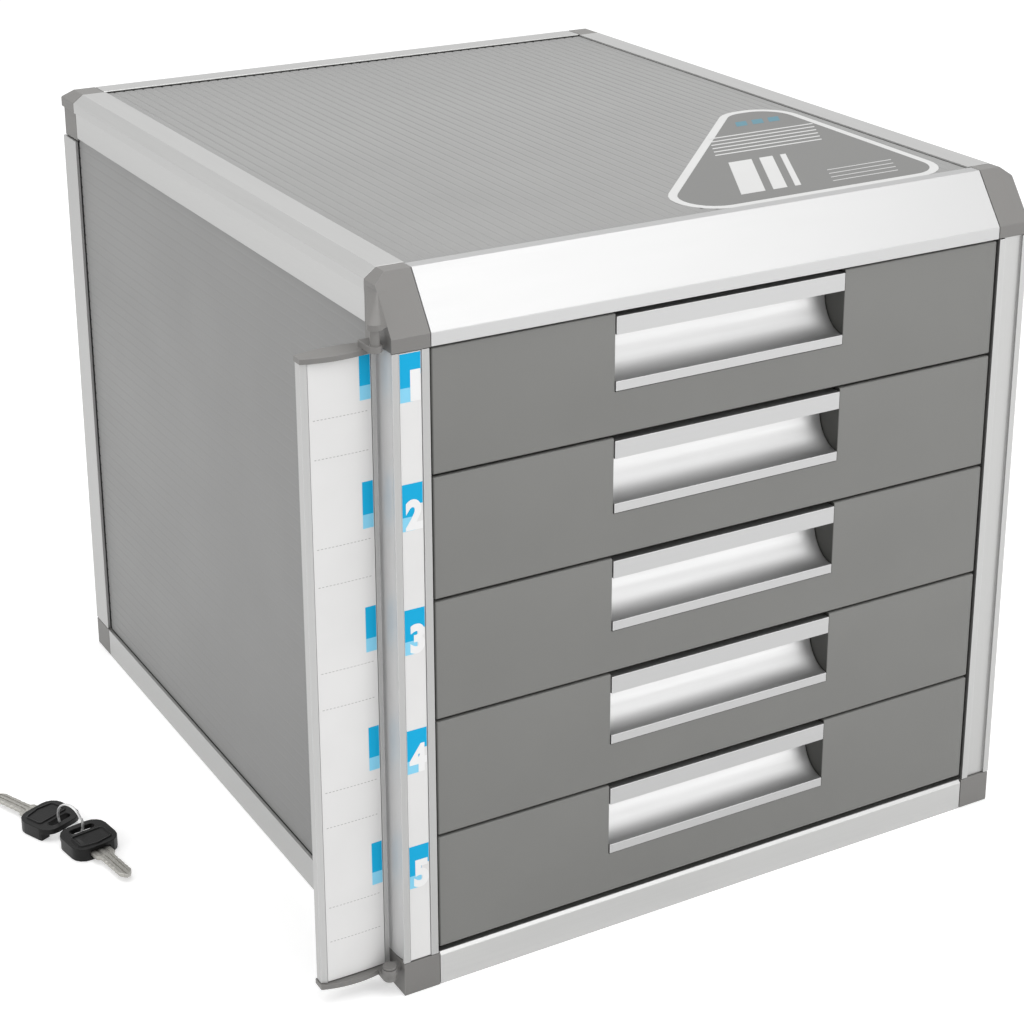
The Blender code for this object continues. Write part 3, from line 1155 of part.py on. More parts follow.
def make_key(number, x, y, turn):
    half_length = KEY_HEAD_LENGTH / 2
    half_blade = KEY_BLADE_THICKNESS / 2
    middle = KEY_HEAD_THICKNESS / 2
    slot_middle = -half_length + KEY_SLOT_INSET
    head = prism(
        round_cornered(half_length, KEY_HEAD_WIDTH / 2, KEY_HEAD_CORNER), "Z", 0.0, KEY_HEAD_THICKNESS,
        [[(slot_middle + across, up) for across, up in
          round_cornered(KEY_SLOT_WIDTH / 2, KEY_SLOT_LENGTH / 2, KEY_SLOT_WIDTH / 2 - FIT_GAP, 2)]])
    socket = block(
        (half_length - KEY_COLLAR_LENGTH, -KEY_COLLAR_WIDTH / 2, middle - half_blade - FIT_GAP),
        (half_length + CUT_OVERRUN, KEY_COLLAR_WIDTH / 2, middle + half_blade + FIT_GAP))
    undercut = block(
        (-half_length - CUT_OVERRUN, -KEY_HEAD_WIDTH, -CUT_OVERRUN),
        (slot_middle, KEY_HEAD_WIDTH, KEY_EYE_HEIGHT))
    cut(head, socket, undercut)
    head.data.transform(key_place(x, y, turn, 0.0))
    place(head, f"key_head_{number}", KEY_BLACK)
    root = half_length - KEY_COLLAR_LENGTH + FIT_GAP
    collar_end = half_length + KEY_COLLAR_LENGTH / 2
    collar = KEY_COLLAR_WIDTH / 2 - FIT_GAP
    half_width = KEY_BLADE_WIDTH / 2
    tip = half_length + KEY_BLADE_LENGTH
    outline = [
        (root, -collar), (collar_end, -collar), (collar_end + half_width / 2, -half_width),
        (tip - half_width, -half_width), (tip, -half_width / 3), (tip, half_width / 3),
        (tip - half_width, half_width), (collar_end + half_width / 2, half_width), (collar_end, collar),
        (root, collar),
    ]
    blade = prism(outline, "Z", middle - half_blade, middle + half_blade)
    blade.data.transform(key_place(x, y, turn, 0.0))
    place(blade, f"key_blade_{number}", KEY_STEEL)


def slot_centre(x, y, turn):
    """World place of the middle of a key's ring slot."""
    from_middle = Vector((-KEY_HEAD_LENGTH / 2 + KEY_SLOT_INSET, 0.0, 0.0))
    return key_place(x, y, turn, KEY_HEAD_THICKNESS / 2) @ from_middle


def make_key_ring():
    """A round wire that stands on the surface and passes up through the slot of each key head."""
    first = slot_centre(KEY_ONE_X, KEY_ONE_Y, KEY_ONE_TURN)
    second = slot_centre(KEY_TWO_X, KEY_TWO_Y, KEY_TWO_TURN)
    middle = (first + second) / 2
    middle.z = KEY_RING_RADIUS + KEY_RING_WIRE
    curve = bpy.data.curves.new("key_ring", "CURVE")
    curve.dimensions = "3D"
    curve.bevel_depth = KEY_RING_WIRE
    curve.bevel_resolution = 2
    spline = curve.splines.new("POLY")
    count = ROUND_STEPS * 2
    spline.points.add(count - 1)
    along = (second - first).normalized()
    up = Vector((0.0, 0.0, 1.0))
    for step, point in enumerate(spline.points):
        turn = math.tau * step / count
        spot = middle + KEY_RING_RADIUS * (math.cos(turn) * along + math.sin(turn) * up)
        point.co = (*spot, 1.0)
    spline.use_cyclic_u = True
    ring = bpy.data.objects.new("key_ring", curve)
    CUTTERS.objects.link(ring)
    bpy.context.view_layer.update()
    mesh = bpy.data.meshes.new_from_object(ring.evaluated_get(bpy.context.evaluated_depsgraph_get()))
    bpy.data.objects.remove(ring, do_unlink=True)
    place(smooth_round_faces(new_object("ring", mesh)), "key_ring", KEY_STEEL)


def make_cabinet():
    make_base_rails()
    make_posts()
    make_top_rails()
    make_corner_blocks()
    make_side_panels()
    make_back_panel()
    make_flat_panels()
    make_runners()
    make_drawers()
    make_number_strip()
    make_flap_bar()
    make_top_cap()
    make_bottom_cap()
    make_index_card()
    make_lock()


make_cabinet()
make_key(1, KEY_ONE_X, KEY_ONE_Y, KEY_ONE_TURN)
make_key(2, KEY_TWO_X, KEY_TWO_Y, KEY_TWO_TURN)
make_key_ring()
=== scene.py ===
# %% [markdown]
# # A desktop drawer cabinet
# The cabinet is a frame of aluminium extrusions with grey plastic corners, ribbed panels and five drawers.
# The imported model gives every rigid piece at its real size, and it is loaded first. The lesson then gives
# each piece its finish, and adds what the solids leave out: ribs, soft edges, printed labels and detailed
# keys.

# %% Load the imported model
import json
import math

import bmesh
import bpy
import numpy as np
from mathutils import Matrix, Vector


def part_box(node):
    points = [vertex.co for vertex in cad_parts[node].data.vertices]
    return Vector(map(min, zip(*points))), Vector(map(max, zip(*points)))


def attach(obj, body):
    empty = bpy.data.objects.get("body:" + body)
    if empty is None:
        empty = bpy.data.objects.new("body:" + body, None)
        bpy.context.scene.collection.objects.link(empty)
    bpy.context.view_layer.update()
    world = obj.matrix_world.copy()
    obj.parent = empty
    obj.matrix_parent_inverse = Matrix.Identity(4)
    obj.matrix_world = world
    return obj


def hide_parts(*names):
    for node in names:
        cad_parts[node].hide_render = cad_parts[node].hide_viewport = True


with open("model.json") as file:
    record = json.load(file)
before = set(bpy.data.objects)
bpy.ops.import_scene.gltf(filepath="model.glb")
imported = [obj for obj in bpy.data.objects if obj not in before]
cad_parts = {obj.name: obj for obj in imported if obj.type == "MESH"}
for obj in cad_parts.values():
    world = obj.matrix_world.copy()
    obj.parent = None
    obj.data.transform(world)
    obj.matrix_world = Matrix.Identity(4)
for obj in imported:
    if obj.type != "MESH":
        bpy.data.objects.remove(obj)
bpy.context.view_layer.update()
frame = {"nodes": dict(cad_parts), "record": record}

NODES = frame["nodes"]
print("solids:", len(NODES))

# %% [markdown]
# ## Where the sizes come from
# The printed cards, the numerals and the key ring take their places from the solids' own boxes. The ribs,
# the label and the keys are drawn in the same frame, in millimetres.

# %% Measure the pieces that carry others
DRAWERS = 5
MM = 0.001


def low_high(node):
    """The two corners of a solid's box, as numpy arrays."""
    low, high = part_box(node)
    return np.array(low), np.array(high)


strip_low, strip_high = low_high("number_strip")
card_low, card_high = low_high("index_card")
front_boxes = [low_high(f"drawer_front_{i}") for i in range(1, DRAWERS + 1)]
print("front height:", round(float((front_boxes[0][1] - front_boxes[0][0])[2]) / MM, 1), "mm")

# %% [markdown]
# ## The camera
# The photograph looks at the front left corner from a little above. The place, turn and lens were fitted to
# the corners of the cabinet. Its upright edges are nearly parallel in the photograph, so the fitted camera
# tilts down less than it would on its own and has a vertical shift that brings the cabinet to the middle.

# %% Camera
TILT, ROLL, TURN = 19.105, 0.142, -29.651
camera_data = bpy.data.cameras.new("camera")
camera = bpy.data.objects.new("camera", camera_data)
bpy.context.scene.collection.objects.link(camera)
camera.location = (-0.4881, -0.6909, 0.5451)
camera.rotation_euler = (math.radians(90 - TILT), math.radians(ROLL), math.radians(TURN))
camera_data.sensor_width = 36
camera_data.lens = 79.154
camera_data.shift_y = -0.18
bpy.context.scene.camera = camera
bpy.context.scene.view_settings.view_transform = "Standard"
print("camera at", tuple(round(v, 3) for v in camera.location))

# %% [markdown]
# ## Floor, background and light
# The floor is wide and pale. To the camera and in reflections it is as white as the background, except
# where the cabinet shades it. The world gives an even light, and four broad lamps shape it: one high in
# front on the right, one above, one from the left and one low in front, which brightens the hollows of the
# pulls.

# %% Floor
def grid_mesh(name, points):
    """A mesh of quads over an array of points with the shape (rows, columns, 3)."""
    rows, columns = points.shape[:2]
    index = np.arange(rows * columns).reshape(rows, columns)
    quads = np.stack([index[:-1, :-1], index[:-1, 1:], index[1:, 1:], index[1:, :-1]], axis=-1).reshape(-1, 4)
    mesh = bpy.data.meshes.new(name)
    mesh.from_pydata(points.reshape(-1, 3).tolist(), [], quads.tolist())
    mesh.update()
    return mesh


def add_object(name, mesh):
    """A new object at the origin that holds the mesh."""
    thing = bpy.data.objects.new(name, mesh)
    bpy.context.scene.collection.objects.link(thing)
    return thing


def new_material(name):
    """An empty node material with its nodes, links and output."""
    material = bpy.data.materials.new(name)
    material.use_nodes = True
    tree = material.node_tree
    tree.nodes.clear()
    return material, tree, tree.nodes.new("ShaderNodeOutputMaterial")


side = np.linspace(-3.0, 3.0, 3)
across, along = np.meshgrid(side, side)
floor = add_object("floor", grid_mesh("floor", np.stack([across, along, np.zeros_like(across) - 0.0002], -1)))

floor_material, tree, output = new_material("floor_white")
matte = tree.nodes.new("ShaderNodeBsdfDiffuse")
matte.inputs["Color"].default_value = (0.80, 0.80, 0.80, 1)
glow = tree.nodes.new("ShaderNodeEmission")
rays = tree.nodes.new("ShaderNodeLightPath")
seen = tree.nodes.new("ShaderNodeMath")
seen.operation = "MAXIMUM"
tree.links.new(rays.outputs["Is Camera Ray"], seen.inputs[0])
tree.links.new(rays.outputs["Is Glossy Ray"], seen.inputs[1])
level = tree.nodes.new("ShaderNodeMath")
level.operation = "MULTIPLY"
level.inputs[1].default_value = 0.42
tree.links.new(seen.outputs[0], level.inputs[0])
tree.links.new(level.outputs[0], glow.inputs["Strength"])
both = tree.nodes.new("ShaderNodeAddShader")
tree.links.new(matte.outputs[0], both.inputs[0])
tree.links.new(glow.outputs[0], both.inputs[1])
tree.links.new(both.outputs[0], output.inputs["Surface"])
floor.data.materials.append(floor_material)
print("floor:", [round(v, 2) for v in floor.dimensions], "m")

# %% World and lamps
world = bpy.data.worlds.new("studio")
bpy.context.scene.world = world
world.use_nodes = True
tree = world.node_tree
tree.nodes.clear()
output = tree.nodes.new("ShaderNodeOutputWorld")
plain = tree.nodes.new("ShaderNodeBackground")
plain.inputs["Color"].default_value = (0.66, 0.66, 0.66, 1)
white = tree.nodes.new("ShaderNodeBackground")
white.inputs["Color"].default_value = (1, 1, 1, 1)
rays = tree.nodes.new("ShaderNodeLightPath")
mirrored = tree.nodes.new("ShaderNodeMath")
mirrored.operation = "MAXIMUM"
tree.links.new(rays.outputs["Is Camera Ray"], mirrored.inputs[0])
tree.links.new(rays.outputs["Is Glossy Ray"], mirrored.inputs[1])
mix = tree.nodes.new("ShaderNodeMixShader")
tree.links.new(mirrored.outputs[0], mix.inputs[0])
tree.links.new(plain.outputs[0], mix.inputs[1])
tree.links.new(white.outputs[0], mix.inputs[2])
tree.links.new(mix.outputs[0], output.inputs["Surface"])


def add_lamp(name, place, target, size, power):
    """A square soft lamp that looks at a point."""
    lamp_data = bpy.data.lights.new(name, "AREA")
    lamp_data.size = size
    lamp_data.energy = power
    lamp = bpy.data.objects.new(name, lamp_data)
    lamp.location = place
    lamp.rotation_euler = (Vector(target) - Vector(place)).to_track_quat("-Z", "Y").to_euler()
    bpy.context.scene.collection.objects.link(lamp)
    return lamp


middle = (0.0, 0.15, 0.15)
add_lamp("above_front", (0.5, -0.9, 1.5), middle, 1.2, 10)
add_lamp("above", (-0.1, 0.3, 1.9), middle, 1.4, 13)
add_lamp("from_left", (-1.6, 0.0, 0.8), middle, 1.0, 5)
add_lamp("low_in_front", (0.85, -1.5, 0.3), (0.0, 0.0, 0.15), 0.7, 4)

# %% [markdown]
# ## Shared shader effects
# Five effects are used by the finishes, so each is a node group with its own inputs. Drawn lines run along
# an extrusion, grain is the fine texture of moulded plastic, edge wear finds the rims where hands and
# cloths polish a surface, and the last two find the faces that look one way and the places deep behind a
# front. These last two are masks for painted light and shade: some finishes turn lighter or darker there.

# %% Drawn lines of an extrusion
def start_group(name, inputs, outputs):
    """A new shader node group with number, vector or colour sockets."""
    group = bpy.data.node_groups.new(name, "ShaderNodeTree")
    for label, kind, value in inputs:
        socket = group.interface.new_socket(name=label, in_out="INPUT", socket_type=kind)
        socket.default_value = value
    for label, kind in outputs:
        group.interface.new_socket(name=label, in_out="OUTPUT", socket_type=kind)
    return group, group.nodes.new("NodeGroupInput"), group.nodes.new("NodeGroupOutput")


NUMBER, VECTOR = "NodeSocketFloat", "NodeSocketVector"
drawn_lines, source, sink = start_group(
    "drawn_lines",
    [("Stretch", VECTOR, (1, 1, 1)), ("Tone Range", NUMBER, 0.06)],
    [("Tone", NUMBER), ("Height", NUMBER), ("Roughness", NUMBER)],
)
place = drawn_lines.nodes.new("ShaderNodeTexCoord")
stretch = drawn_lines.nodes.new("ShaderNodeVectorMath")
stretch.operation = "MULTIPLY"
drawn_lines.links.new(place.outputs["Object"], stretch.inputs[0])
drawn_lines.links.new(source.outputs["Stretch"], stretch.inputs[1])
streaks = drawn_lines.nodes.new("ShaderNodeTexNoise")
streaks.inputs["Scale"].default_value = 1.0
streaks.inputs["Detail"].default_value = 5
drawn_lines.links.new(stretch.outputs[0], streaks.inputs["Vector"])
around = drawn_lines.nodes.new("ShaderNodeMapRange")
around.inputs["From Min"].default_value = 0.3
around.inputs["From Max"].default_value = 0.7
around.inputs["To Max"].default_value = 1.0
drawn_lines.links.new(streaks.outputs["Fac"], around.inputs["Value"])
below_one = drawn_lines.nodes.new("ShaderNodeMath")
below_one.operation = "SUBTRACT"
below_one.inputs[0].default_value = 1.0
drawn_lines.links.new(source.outputs["Tone Range"], below_one.inputs[1])
drawn_lines.links.new(below_one.outputs[0], around.inputs["To Min"])
rough = drawn_lines.nodes.new("ShaderNodeMapRange")
rough.inputs["To Min"].default_value = 0.42
rough.inputs["To Max"].default_value = 0.54
drawn_lines.links.new(streaks.outputs["Fac"], rough.inputs["Value"])
drawn_lines.links.new(around.outputs[0], sink.inputs["Tone"])
drawn_lines.links.new(streaks.outputs["Fac"], sink.inputs["Height"])
drawn_lines.links.new(rough.outputs[0], sink.inputs["Roughness"])

# %% Grain of moulded plastic
grain, source, sink = start_group(
    "moulded_grain",
    [("Scale", NUMBER, 1800.0), ("Tone Range", NUMBER, 0.06), ("Roughness", NUMBER, 0.5)],
    [("Tone", NUMBER), ("Height", NUMBER), ("Roughness", NUMBER)],
)
place = grain.nodes.new("ShaderNodeTexCoord")
fine = grain.nodes.new("ShaderNodeTexNoise")
fine.inputs["Detail"].default_value = 2
grain.links.new(place.outputs["Object"], fine.inputs["Vector"])
grain.links.new(source.outputs["Scale"], fine.inputs["Scale"])
clouds = grain.nodes.new("ShaderNodeTexNoise")
clouds.inputs["Scale"].default_value = 22
clouds.inputs["Detail"].default_value = 3
grain.links.new(place.outputs["Object"], clouds.inputs["Vector"])
spread = grain.nodes.new("ShaderNodeMapRange")
spread.inputs["From Min"].default_value = 0.25
spread.inputs["From Max"].default_value = 0.75
spread.inputs["To Max"].default_value = 1.0
grain.links.new(clouds.outputs["Fac"], spread.inputs["Value"])
below_one = grain.nodes.new("ShaderNodeMath")
below_one.operation = "SUBTRACT"
below_one.inputs[0].default_value = 1.0
grain.links.new(source.outputs["Tone Range"], below_one.inputs[1])
grain.links.new(below_one.outputs[0], spread.inputs["To Min"])
vary = grain.nodes.new("ShaderNodeMath")
vary.operation = "MULTIPLY_ADD"
vary.inputs[1].default_value = 0.12
grain.links.new(clouds.outputs["Fac"], vary.inputs[0])
grain.links.new(source.outputs["Roughness"], vary.inputs[2])
grain.links.new(spread.outputs[0], sink.inputs["Tone"])
grain.links.new(fine.outputs["Fac"], sink.inputs["Height"])
grain.links.new(vary.outputs[0], sink.inputs["Roughness"])

# %% Edge wear
edge_wear, source, sink = start_group(
    "edge_wear", [("Width", NUMBER, 0.0006), ("Amount", NUMBER, 0.5)], [("Mask", NUMBER)],
)
shape = edge_wear.nodes.new("ShaderNodeNewGeometry")
rounded = edge_wear.nodes.new("ShaderNodeBevel")
rounded.samples = 4
edge_wear.links.new(source.outputs["Width"], rounded.inputs["Radius"])
turned = edge_wear.nodes.new("ShaderNodeVectorMath")
turned.operation = "DOT_PRODUCT"
edge_wear.links.new(shape.outputs["Normal"], turned.inputs[0])
edge_wear.links.new(rounded.outputs["Normal"], turned.inputs[1])
rim = edge_wear.nodes.new("ShaderNodeMapRange")
rim.inputs["From Min"].default_value = 0.99
rim.inputs["From Max"].default_value = 0.80
edge_wear.links.new(turned.outputs["Value"], rim.inputs["Value"])
strong = edge_wear.nodes.new("ShaderNodeMath")
strong.operation = "MULTIPLY"
edge_wear.links.new(rim.outputs[0], strong.inputs[0])
edge_wear.links.new(source.outputs["Amount"], strong.inputs[1])
edge_wear.links.new(strong.outputs[0], sink.inputs["Mask"])

# %% Facing one way
facing, source, sink = start_group(
    "facing_one_way", [("Way", VECTOR, (0, 0, 1)), ("Full At", NUMBER, 0.9)], [("Mask", NUMBER)])
shape = facing.nodes.new("ShaderNodeNewGeometry")
turned = facing.nodes.new("ShaderNodeVectorMath")
turned.operation = "DOT_PRODUCT"
facing.links.new(shape.outputs["Normal"], turned.inputs[0])
facing.links.new(source.outputs["Way"], turned.inputs[1])
soft = facing.nodes.new("ShaderNodeMapRange")
soft.inputs["From Min"].default_value = 0.03
facing.links.new(source.outputs["Full At"], soft.inputs["From Max"])
facing.links.new(turned.outputs["Value"], soft.inputs["Value"])
facing.links.new(soft.outputs[0], sink.inputs["Mask"])

# %% Depth behind a front
depth_mask, source, sink = start_group(
    "depth_behind_front", [("Start", NUMBER, 0.0), ("Full At", NUMBER, 0.01)], [("Mask", NUMBER)])
place = depth_mask.nodes.new("ShaderNodeTexCoord")
parts = depth_mask.nodes.new("ShaderNodeSeparateXYZ")
depth_mask.links.new(place.outputs["Object"], parts.inputs[0])
soft = depth_mask.nodes.new("ShaderNodeMapRange")
depth_mask.links.new(parts.outputs["Y"], soft.inputs["Value"])
depth_mask.links.new(source.outputs["Start"], soft.inputs["From Min"])
depth_mask.links.new(source.outputs["Full At"], soft.inputs["From Max"])
depth_mask.links.new(soft.outputs[0], sink.inputs["Mask"])
print("groups:", [group.name for group in bpy.data.node_groups])


# %% [markdown]
# ## Finishes
# Satin anodised aluminium has faint lines along the extrusion, so there are copies of it for each
# direction. The plastics have a fine moulded grain and slightly paler rims. Each finish is a Principled
# shader whose colour, roughness and bump come from the shared effects. Some finishes also carry painted
# light and shade: a lighter left flank on the left front post, a lighter right side on the flap, a painted
# highlight deep in each pull's hollow, slightly darker lengthways base rails, painted shade on the pockets'
# right cheeks and on the panels' faces that look left, and a near black core under the skins as painted
# shadow.

# %% Helpers for finishes
def add_group(tree, group, **values):
    """A copy of a shared effect, with values for the inputs that are named."""
    node = tree.nodes.new("ShaderNodeGroup")
    node.node_tree = group
    for label, value in values.items():
        node.inputs[label.replace("_", " ")].default_value = value
    return node


def tinted(tree, tone, colour):
    """A colour times a grey tone that changes over the surface."""
    mix = tree.nodes.new("ShaderNodeMix")
    mix.data_type = "RGBA"
    mix.blend_type = "MULTIPLY"
    mix.inputs["Factor"].default_value = 1.0
    mix.inputs[6].default_value = (*colour, 1)
    tree.links.new(tone, mix.inputs[7])
    return mix.outputs[2]


def worn(tree, mask, colour, worn_colour):
    """The colour turns to the worn colour where the mask is 1. It draws real edge wear on rims, and also
    painted light and shade where the mask picks faces by the way they look or by their depth.
    """
    mix = tree.nodes.new("ShaderNodeMix")
    mix.data_type = "RGBA"
    tree.links.new(mask, mix.inputs[0])
    tree.links.new(colour, mix.inputs[6])
    mix.inputs[7].default_value = (*worn_colour, 1)
    return mix.outputs[2]


def bumped(tree, height, distance):
    """A normal that follows a height, in metres for a height of 1."""
    bump = tree.nodes.new("ShaderNodeBump")
    bump.inputs["Distance"].default_value = distance
    bump.inputs["Strength"].default_value = 1.0
    tree.links.new(height, bump.inputs["Height"])
    return bump.outputs["Normal"]


# %% Aluminium
LINES_ALONG, LINES_ACROSS = 20.0, 1300.0


def aluminium(name, along, colour, worn_colour, tone_range=0.04, mask=None, settings=None,
              painted_light_colour=None, metallic=1.0):
    """Anodised metal with lines along one axis: the noise is stretched 65 times along it. A mask group with
    its settings, such as the depth of a pull's hollow, can turn the colour to a brighter one: painted light,
    such as a painted highlight. A lower metallic value is for the mattest parts, which mirror less of what
    stands beside them."""
    material, tree, output = new_material(name)
    shader = tree.nodes.new("ShaderNodeBsdfPrincipled")
    shader.inputs["Metallic"].default_value = metallic
    stretch = tuple(LINES_ALONG if axis == along else LINES_ACROSS for axis in "XYZ")
    lines = add_group(tree, drawn_lines, Stretch=stretch, Tone_Range=tone_range)
    rim = add_group(tree, edge_wear, Width=0.0005, Amount=0.6)
    tone = tinted(tree, lines.outputs["Tone"], colour)
    if mask:
        tone = worn(tree, add_group(tree, mask, **settings).outputs[0], tone, painted_light_colour)
    tree.links.new(worn(tree, rim.outputs[0], tone, worn_colour), shader.inputs["Base Color"])
    tree.links.new(lines.outputs["Roughness"], shader.inputs["Roughness"])
    tree.links.new(bumped(tree, lines.outputs["Height"], 0.000008), shader.inputs["Normal"])
    tree.links.new(shader.outputs[0], output.inputs["Surface"])
    return material


SATIN = (0.46, 0.46, 0.455)
RIM_METAL = (0.62, 0.62, 0.62)
RAIL_SATIN = (0.50, 0.50, 0.495)
rail_x = aluminium("satin_rail_across", "X", RAIL_SATIN, RIM_METAL)
rail_y = aluminium("satin_rail_lengthways", "Y", RAIL_SATIN, RIM_METAL)
rail_z = aluminium("satin_post", "Z", SATIN, RIM_METAL)
# The lengthways base rails are a slightly darker copy of the rail finish: painted shade from the floor beside
# them.
shaded_base_y = aluminium("satin_base_lengthways_painted_shade", "Y", (0.47, 0.47, 0.465), (0.56, 0.56, 0.56))
# The left front post's faces that look left are painted lighter: a painted highlight on its flank.
painted_light_flank_z = aluminium("satin_post_with_painted_light_flank", "Z", SATIN, RIM_METAL, 0.04,
                    facing, {"Way": (-1, 0, 0)}, (0.60, 0.60, 0.60), 0.35)
# The flap's faces that look right, on its hinge side, are painted much lighter: painted light in place of the
# shade beside the post.
flap_metal_painted_light = aluminium("matt_flap_with_painted_light_side", "Z", (0.50, 0.50, 0.495), RIM_METAL, 0.04,
                       facing, {"Way": (1, 0, 0)}, (0.86, 0.86, 0.86), 0.4)
header_metal = aluminium("bright_header", "X", (0.47, 0.47, 0.47), (0.62, 0.62, 0.62), 0.02)
# The pull's metal turns brighter deeper behind its front: a painted highlight in the hollow.
pull_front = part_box("drawer_pull_1")[0][1]
pull_metal_painted_highlight = aluminium(
    "satin_pull_with_painted_highlight", "X", (0.46, 0.46, 0.46), (0.75, 0.75, 0.75), 0.03,
    depth_mask, {"Start": pull_front + 1.5 * MM, "Full_At": pull_front + 9 * MM}, (0.62, 0.62, 0.62))
print("metals:", len(bpy.data.materials) - 1)


# %% Plastics
def moulded(name, colour, worn_colour, roughness, scale=1800.0, depth=0.00004, wear=0.35, shine=0.5,
            way=None, painted_shade_colour=None):
    """Moulded plastic: fine grain as bump, cloudy tone and paler rims. Faces that look the given way, such as
    the right cheek of a pocket, can be painted darker, as painted shade."""
    material, tree, output = new_material(name)
    shader = tree.nodes.new("ShaderNodeBsdfPrincipled")
    shader.inputs["Specular IOR Level"].default_value = shine
    texture = add_group(tree, grain, Scale=scale, Tone_Range=0.08, Roughness=roughness)
    rim = add_group(tree, edge_wear, Width=0.0006, Amount=wear)
    tone = tinted(tree, texture.outputs["Tone"], colour)
    if way:
        tone = worn(tree, add_group(tree, facing, Way=way).outputs[0], tone, painted_shade_colour)
    tree.links.new(worn(tree, rim.outputs[0], tone, worn_colour), shader.inputs["Base Color"])
    tree.links.new(texture.outputs["Roughness"], shader.inputs["Roughness"])
    tree.links.new(bumped(tree, texture.outputs["Height"], depth), shader.inputs["Normal"])
    tree.links.new(shader.outputs[0], output.inputs["Surface"])
    return material


corner_plastic = moulded("corner_plastic", (0.188, 0.183, 0.176), (0.28, 0.275, 0.267), 0.42)
# Drawer fronts: faces that look left, the right cheeks of the pull pockets, are painted much darker: painted
# shade.
drawer_plastic_painted_shade = moulded("drawer_front_plastic_with_painted_shade", (0.178, 0.178, 0.170), (0.25, 0.25, 0.24), 0.40,
                         way=(-1, 0, 0), painted_shade_colour=(0.055, 0.055, 0.050))
tray_plastic = moulded("tray_plastic", (0.25, 0.25, 0.24), (0.30, 0.30, 0.29), 0.5)
# Panels: faces that look left, such as the left side, are painted a little darker: painted shade.
panel_plastic_painted_shade = moulded("ribbed_panel_plastic_with_painted_shade", (0.275, 0.275, 0.271), (0.31, 0.31, 0.306), 0.45, 900.0,
                        way=(-1, 0, 0), painted_shade_colour=(0.240, 0.240, 0.237))
# The panels under the skins are near black: painted shadow that shows in the gaps at the skins' edges.
painted_shadow_core = moulded("panel_core_painted_shadow", (0.035, 0.035, 0.035), (0.05, 0.05, 0.05), 0.6)
key_plastic = moulded("key_plastic", (0.004, 0.004, 0.004), (0.02, 0.02, 0.02), 0.30, 1400.0,
                      0.00006, 0.35, 0.22)
key_metal = aluminium("key_metal", "Z", (0.46, 0.45, 0.42), (0.72, 0.71, 0.68), 0.3)
lock_metal = aluminium("lock_metal", "Y", (0.72, 0.72, 0.72), (0.85, 0.85, 0.85), 0.1)
print("materials:", len(bpy.data.materials))

# %% [markdown]
# ## Soft edges
# An extrusion or a moulded cap never has a knife edge: the light catches a small rounding. Most rigid
# solids are copied, their loose triangles are merged, and a Bevel modifier rounds their edges. Each copy then
# stands for its solid and rides on the same body.

# %% Rounded copies of the solids
BODY_OF = {node: body for body, members in frame["record"]["behaviour"]["bodies"].items() for node in members}


def rounded_copy(node, material, width, segments=2, angle=28):
    """A merged copy of a solid with its edges rounded by a width in metres."""
    mesh = NODES[node].data.copy()
    mesh.name = node + "_rounded"
    work = bmesh.new()
    work.from_mesh(mesh)
    bmesh.ops.remove_doubles(work, verts=work.verts, dist=1e-6)
    bmesh.ops.dissolve_limit(work, angle_limit=math.radians(0.5), verts=work.verts, edges=work.edges)
    work.to_mesh(mesh)
    work.free()
    mesh.materials.clear()
    mesh.materials.append(material)
    mesh.shade_smooth()
    mesh.set_sharp_from_angle(angle=math.radians(angle))
    piece = add_object(node + "_rounded", mesh)
    soften = piece.modifiers.new("rounding", "BEVEL")
    soften.width = width
    soften.segments = segments
    soften.limit_method = "ANGLE"
    soften.angle_limit = math.radians(angle)
    soften.harden_normals = True
    soften.miter_outer = "MITER_ARC"
    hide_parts(node)
    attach(piece, BODY_OF[node])
    return piece


for word in ("left", "right"):
    rounded_copy("post_front_" + word, painted_light_flank_z if word == "left" else rail_z, 0.0003)
    rounded_copy("post_back_" + word, rail_z, 0.0003)
    rounded_copy("base_rail_" + word, shaded_base_y, 0.0003)
    rounded_copy("top_rail_" + word, rail_y, 0.0004)
    for level_word in ("top_front", "top_back", "base_front", "base_back"):
        rounded_copy(f"corner_{level_word}_{word}", corner_plastic, 0.0005)
rounded_copy("base_rail_front", rail_x, 0.0003)
rounded_copy("base_rail_back", rail_x, 0.0003)
rounded_copy("top_rail_front", header_metal, 0.0003)
rounded_copy("top_rail_back", rail_x, 0.0004)
for i in range(1, DRAWERS + 1):
    rounded_copy(f"drawer_pull_{i}", pull_metal_painted_highlight, 0.0002)
    rounded_copy(f"drawer_front_{i}", drawer_plastic_painted_shade, 0.0003)
    rounded_copy(f"drawer_tray_{i}", tray_plastic, 0.0004)
rounded_copy("flap_bar", flap_metal_painted_light, 0.0002)
rounded_copy("flap_cap_top", corner_plastic, 0.0004)
rounded_copy("flap_cap_bottom", corner_plastic, 0.0004)
rounded_copy("lock_housing", lock_metal, 0.0003)
rounded_copy("lock_plug", lock_metal, 0.0002)


def repaint(node, material):
    """Gives a solid that stays as it is a finish of its own."""
    NODES[node].data.materials.clear()
    NODES[node].data.materials.append(material)


for word in ("left", "right"):
    repaint("runner_" + word, tray_plastic)
# The panels under the ribbed skins get the near black painted shadow finish.
for word in ("left", "right", "back", "top"):
    repaint("panel_" + word, painted_shadow_core)
repaint("panel_base", panel_plastic_painted_shade)
repaint("lock_cam", key_metal)

# %% [markdown]
# ## Ribbed skins
# Each panel is an extruded sheet with narrow grooves between flat ribs. A skin is one closed surface: for
# every sample across the ribs a loop of six points goes from the buried underside over one bevelled end,
# along the rib and down over the other. The height is the relief times (1 - exp(-(d / g) squared)), where d
# is the distance to the nearest groove and g the groove's half width. The back ends are notched at the
# grooves.

